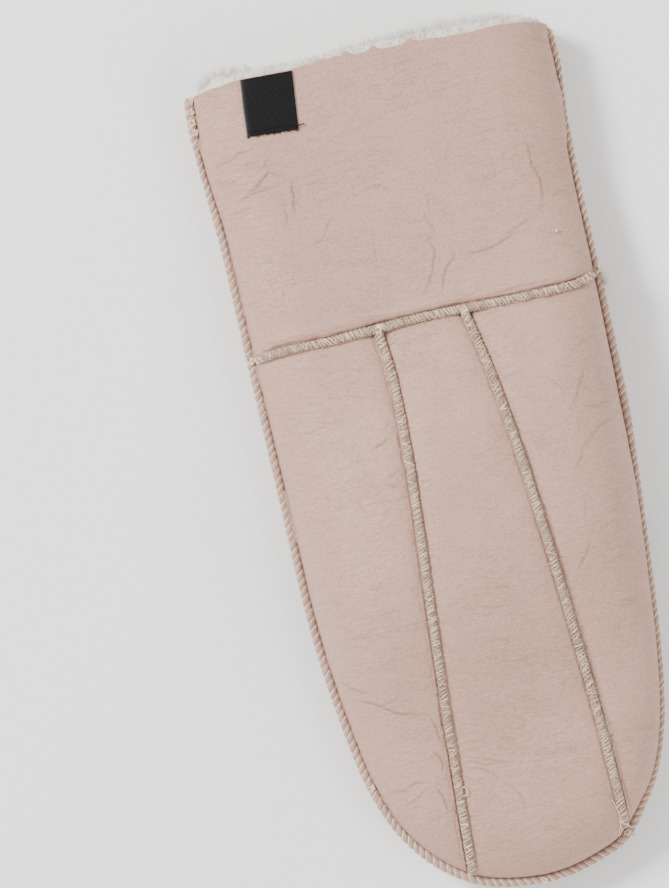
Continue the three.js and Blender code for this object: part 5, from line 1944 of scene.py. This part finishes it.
@dataclass
class Tufts:
    """Wool that the sewing has pulled out of the seams, and loose ends of thread."""

    form: MittenForm
    finishes: Finishes

    TUFTS = (
        # x, y, lean x, lean y, spread, fibres, length
        (61.2, 50.2, 0.8, -0.3, 2.2, 110, 2.6), (-59.8, 48, -0.7, 0.2, 1.6, 50, 1.6),
        (30.9, -100, 0.5, 0.3, 7, 120, 1.5), (29.9, -88, 0.5, -0.2, 8, 90, 1.3),
        (27.9, -66, 0.6, 0.2, 12, 80, 1.3), (26.6, -52, 0.6, 0.1, 3, 40, 1.8),
        (-22, -138.2, -0.2, -0.9, 1.8, 60, 1.7), (-8, -141.8, 0, -1, 6, 60, 1.4),
        (31.5, -133.6, 0.5, -0.8, 1.6, 70, 1.7), (-15.8, 48.2, 0.1, 0.6, 1.3, 60, 1.3),
        (13.6, 48.8, 0.1, 0.6, 1.3, 60, 1.3), (60, 134.8, -0.3, 0.95, 1, 60, 2.4),
        (-60.2, 134.8, 0.3, 0.95, 1, 60, 2.4),
    )
    KNOTS = (
        # x, y, size
        (-15.7, 48.3, 1.5), (13.7, 48.9, 1.4), (-49.7, -101.2, 1.3), (0.5, -143, 1.2),
        (-59.2, 47, 1.3), (31, -133.2, 1.2), (-61.5, 136.2, 1.5), (-61.9, 132.6, 1.5), (-62, 129, 1.4),
        (-61.9, 125.6, 1.3), (60.2, 53.2, 1.5), (49.2, 68.3, 0.35), (61.4, 133.9, 0.9),
    )
    LOOSE = (
        # x, y and height over the leather of each point of a loose thread
        ((-20.9, -107, 0.9), (-19.2, -106.4, 1.5), (-18.6, -107.9, 1.3), (-19.6, -109.4, 1.2),
         (-20.8, -109, 1)),
        ((28.2, -121, 0.3), (29.3, -125.5, 0.5), (29.2, -129.5, 0.4), (27.9, -133.4, 0.3)),
        ((28.9, -123, 0.4), (29.7, -127.5, 0.5), (29.3, -131.2, 0.4), (28.1, -134.4, 0.2)),
    )

    def build(self) -> None:
        """Makes the tufts, the knots and the loose threads."""
        rng = np.random.default_rng(61)
        parts = []
        for x, y, lean_x, lean_y, spread, count, length in self.TUFTS:
            px = x + rng.normal(0, 0.5, count)
            py = y + rng.uniform(-spread, spread, count) * (1 if abs(lean_y) < 0.7 else 0.4)
            px = px + rng.uniform(-spread, spread, count) * (0.15 if abs(lean_y) < 0.7 else 1.0)
            z = np.maximum(self.form.smooth_back(px, py), self.form.seam_z(px, py)) - 0.3
            near_edge = self.form.to_side(px, py) < 4
            z = np.where(near_edge, self.form.seam_z(px, py) + rng.uniform(-1, 1.5, count), z)
            ways = unit(np.stack([lean_x + rng.normal(0, 0.5, count), lean_y + rng.normal(0, 0.5, count),
                                  0.35 + rng.normal(0, 0.3, count)], -1))
            parts.append(curled_fibres(np.stack([px, py, z], -1), ways, length * rng.uniform(0.5, 1.2, count),
                                       rng, 0.055, 0.35))
        add_piece("wool_tufts", MeshData.joined(parts), self.finishes.stray_wool, Slot.WOOL)
        threads = [self._knot(x, y, size, rng) for x, y, size in self.KNOTS]
        threads += [self._loose(rows) for rows in self.LOOSE]
        add_piece("knots_and_thread_ends", MeshData.joined(threads), self.finishes.thread, Slot.THREAD)

    def _top(self, x: float, y: float) -> float:
        """Height of the seam or the leather at a place.

        Args:
            x, y: The place.

        Returns:
            The height.
        """
        px, py = np.array([float(x)]), np.array([float(y)])
        if self.form.to_side(px, py)[0] < 2.0:
            return float(self.form.seam_z(px, py)[0]) + 0.6
        return float(self.form.smooth_back(px, py)[0]) - 0.4

    def _knot(self, x: float, y: float, size: float, rng: np.random.Generator) -> MeshData:
        """A small tangle of thread.

        Args:
            x, y: Its place.
            size: Its half width.
            rng: Source of its turns.

        Returns:
            Its mesh.
        """
        loops = 7
        t = np.linspace(0, 1, 14)[None, :]
        tilt, phase = rng.uniform(0, math.pi, (loops, 1)), rng.uniform(0, 6.3, (loops, 1))
        wide = size * rng.uniform(0.7, 1.1, (loops, 1))
        turn = phase + 4.6 * t
        across, along = wide * np.cos(turn), 0.55 * wide * np.sin(turn)
        points = np.stack([
            x + across * np.cos(tilt) - along * np.sin(tilt),
            y + across * np.sin(tilt) + along * np.cos(tilt),
            self._top(x, y) + 0.6 + 0.5 * size * np.sin(turn * 1.3 + tilt),
        ], -1)
        return strands(points, np.full(points.shape[:2], 0.27), 5, rng.uniform(0, 0.5, loops))

    def _loose(self, rows: Rows) -> MeshData:
        """Lays one loose thread.

        Args:
            rows: Its points: x, y and height over the leather.

        Returns:
            Its mesh.
        """
        curve = PlanCurve([(x, y) for x, y, _ in rows])
        runs = np.linspace(0, curve.length, 16)
        plan = curve.at(runs)
        lift = np.interp(runs, np.linspace(0, curve.length, len(rows)), [h for _, _, h in rows])
        z = self.form.back(plan[:, 0], plan[:, 1])[0] + lift
        line = np.column_stack([plan, z])[None]
        return strands(line, np.full(line.shape[:2], 0.2), 6, np.array([0.1]))


@dataclass
class Label:
    """The label: a bare black tape, sewn at the mouth and along its lower edge."""

    form: MittenForm
    finishes: Finishes
    thickness: float = 0.45
    gap: float = 0.12

    def build(self) -> None:
        """Makes the tape with its frayed edge and its thread's tail."""
        share = np.linspace(0, 1, 49)
        corner = {k: np.array(v) for k, v in LABEL_CORNERS.items()}
        left = straight(corner["top_left"], corner["low_left"], share)
        right = straight(corner["top_right"], corner["low_right"], share)
        plan = left[:, None] + (right - left)[:, None] * share[None, :, None]
        plan[-1, :, 1] += 0.18 * self.form.fine.at(plan[-1, :, 0], plan[-1, :, 1], 0.7)
        x, y = plan[..., 0], plan[..., 1]
        lift = self.gap + self.thickness + 0.25 * np.sin(math.pi * share)[None, :] * share[::-1][:, None]
        lift = lift + 0.5 * np.exp(-share / 0.05)[None, :] * np.sin(math.pi * share)[:, None] ** 2
        curl = 0.08 * self.form.fine.at(x, y, 5.0)
        z = self.form.smooth_back(x, y) + 0.5 * self.form.broad.layered(x, y, 30.0) + lift + curl
        # How much paler the tape is along its folded left edge
        pale_fold_edge = 0.8 * np.exp(-(share / 0.022))[None, :] + 0 * x
        data = skin(plan, z, pale_fold_edge, 1, self.thickness)
        add_piece("label_tape", data, self.finishes.tape, Slot.LABEL, "label")
        add_piece("label_threads", self._threads(plan, z), self.finishes.tape, Slot.LABEL)

    def _threads(self, plan: Array, z: Array) -> MeshData:
        """Frayed ends along the lower edge, its stitches and the tail.

        Args:
            plan, z: The tape's points in plan, and their heights.

        Returns:
            Their mesh.
        """
        rng = np.random.default_rng(71)
        count = 120
        pick = rng.integers(0, plan.shape[1], count)
        roots = np.column_stack([plan[-1, pick], z[-1, pick] - 0.15 - 0.2 * rng.random(count)])
        ways = [rng.normal(0.1, 0.5, count), -np.ones(count), rng.normal(0, 0.15, count)]
        ways = unit(np.column_stack(ways))
        frayed = curled_fibres(roots, ways, rng.uniform(0.3, 0.9, count), rng, 0.06, 0.06, 4)
        row = plan.shape[0] - 5
        starts = np.arange(1, plan.shape[1] - 3, 3)
        bars = np.stack([np.column_stack([plan[row, starts + k], z[row, starts + k] + h])
                         for k, h in ((0, -0.15), (1, 0.14), (1, 0.14), (2, -0.15))], 1)
        stitches = strands(bars, np.full(bars.shape[:2], 0.16), 5, np.zeros(len(bars)), "crease")
        x, y = LABEL_CORNERS["low_right"]
        tail = np.array([[(-0.6, 1.1, 0.2), (0.6, 1.3, 0.3), (1.6, 1.5, 0.2), (2.3, 1.3, 0.1)]])
        tail += (x, y, z[-4, -1])
        tail = strands(tail, np.full((1, 4), 0.2), 6, np.zeros(1), "crease")
        return MeshData.joined([frayed, stitches, tail])


@dataclass(frozen=True)
class Studio:
    """The pale floor, the soft light and the camera straight above."""

    roll: float = 12.0
    centre: tuple[float, float] = (-0.03776, 0.01418)
    frame_height: float = 0.296
    lens: float = 300.0
    sensor: float = 36.0
    plane: float = 0.020
    floor_reach: float = 3.0
    floor_z: float = -0.0003

    def build(self) -> None:
        """Sets up the studio."""
        self._floor()
        self._lights()
        self._camera()

    def _floor(self) -> None:
        """A plain pale floor."""
        tree = NodeTree("pale_floor")
        cloud = tree.ranged(tree.noise(3.0), 0.0, 1.0)
        tint = tree.blend(cloud, (0.95, 0.95, 0.95, 1.0), (0.94, 0.94, 0.94, 1.0))
        material = tree.surface(Base_Color=tint, Roughness=0.85, Specular_IOR_Level=0.2)
        mesh = bpy.data.meshes.new("floor")
        corners = [(-1, -1), (1, -1), (1, 1), (-1, 1)]
        corners = [(self.floor_reach * x, self.floor_reach * y, self.floor_z) for x, y in corners]
        mesh.from_pydata(corners, [], [(0, 1, 2, 3)])
        mesh.materials.append(material)
        floor = bpy.data.objects.new("floor", mesh)
        bpy.context.scene.collection.objects.link(floor)

    def _lights(self) -> None:
        """Light from all round, and a broad soft lamp from the upper left."""
        world = bpy.data.worlds.new("studio")
        world.use_nodes = True
        background = world.node_tree.nodes["Background"]
        background.inputs["Color"].default_value = (1.0, 0.995, 0.985, 1.0)
        background.inputs["Strength"].default_value = 0.95
        bpy.context.scene.world = world
        rows = [
            # name, place, size, power
            ("key_lamp", (-1.7, 1.45, 1.9), 0.8, 135.0),
            ("fill_lamp", (1.7, -1.5, 1.9), 1.8, 48.0),
        ]
        for name, place, size, power in rows:
            lamp = bpy.data.lights.new(name, "AREA")
            lamp.shape, lamp.size, lamp.energy = "SQUARE", size, power
            holder = bpy.data.objects.new(name, lamp)
            holder.location = place
            holder.rotation_mode = "QUATERNION"
            holder.rotation_quaternion = holder.location.to_track_quat("Z", "Y")
            bpy.context.scene.collection.objects.link(holder)

    def _camera(self) -> None:
        """Looks straight down on the mitten, turned as it lies in the view."""
        data = bpy.data.cameras.new("camera")
        data.lens, data.sensor_width = self.lens, self.sensor
        camera = bpy.data.objects.new("camera", data)
        distance = self.frame_height / 2 * self.lens / (self.sensor / 2)
        camera.location = (*self.centre, self.plane + distance)
        camera.rotation_euler = (0.0, 0.0, -math.radians(self.roll))
        bpy.context.scene.collection.objects.link(camera)
        bpy.context.scene.camera = camera


def main() -> None:
    """Builds the mitten and its studio."""
    logging.basicConfig(level=logging.INFO, format="%(name)s: %(message)s")
    Studio().build()
    form = MittenForm()
    finishes = Finishes.mixed()
    BackPanels(form, finishes, form.back_cuff).build()
    PalmPanels(form, finishes, form.palm_cuff).build()
    ThumbStall(form, finishes, form.palm_cuff).build()
    Seams(form, finishes).build()
    Fleece(form, finishes).build()
    Tufts(form, finishes).build()
    Label(form, finishes).build()


if __name__ == "__main__":
    main()
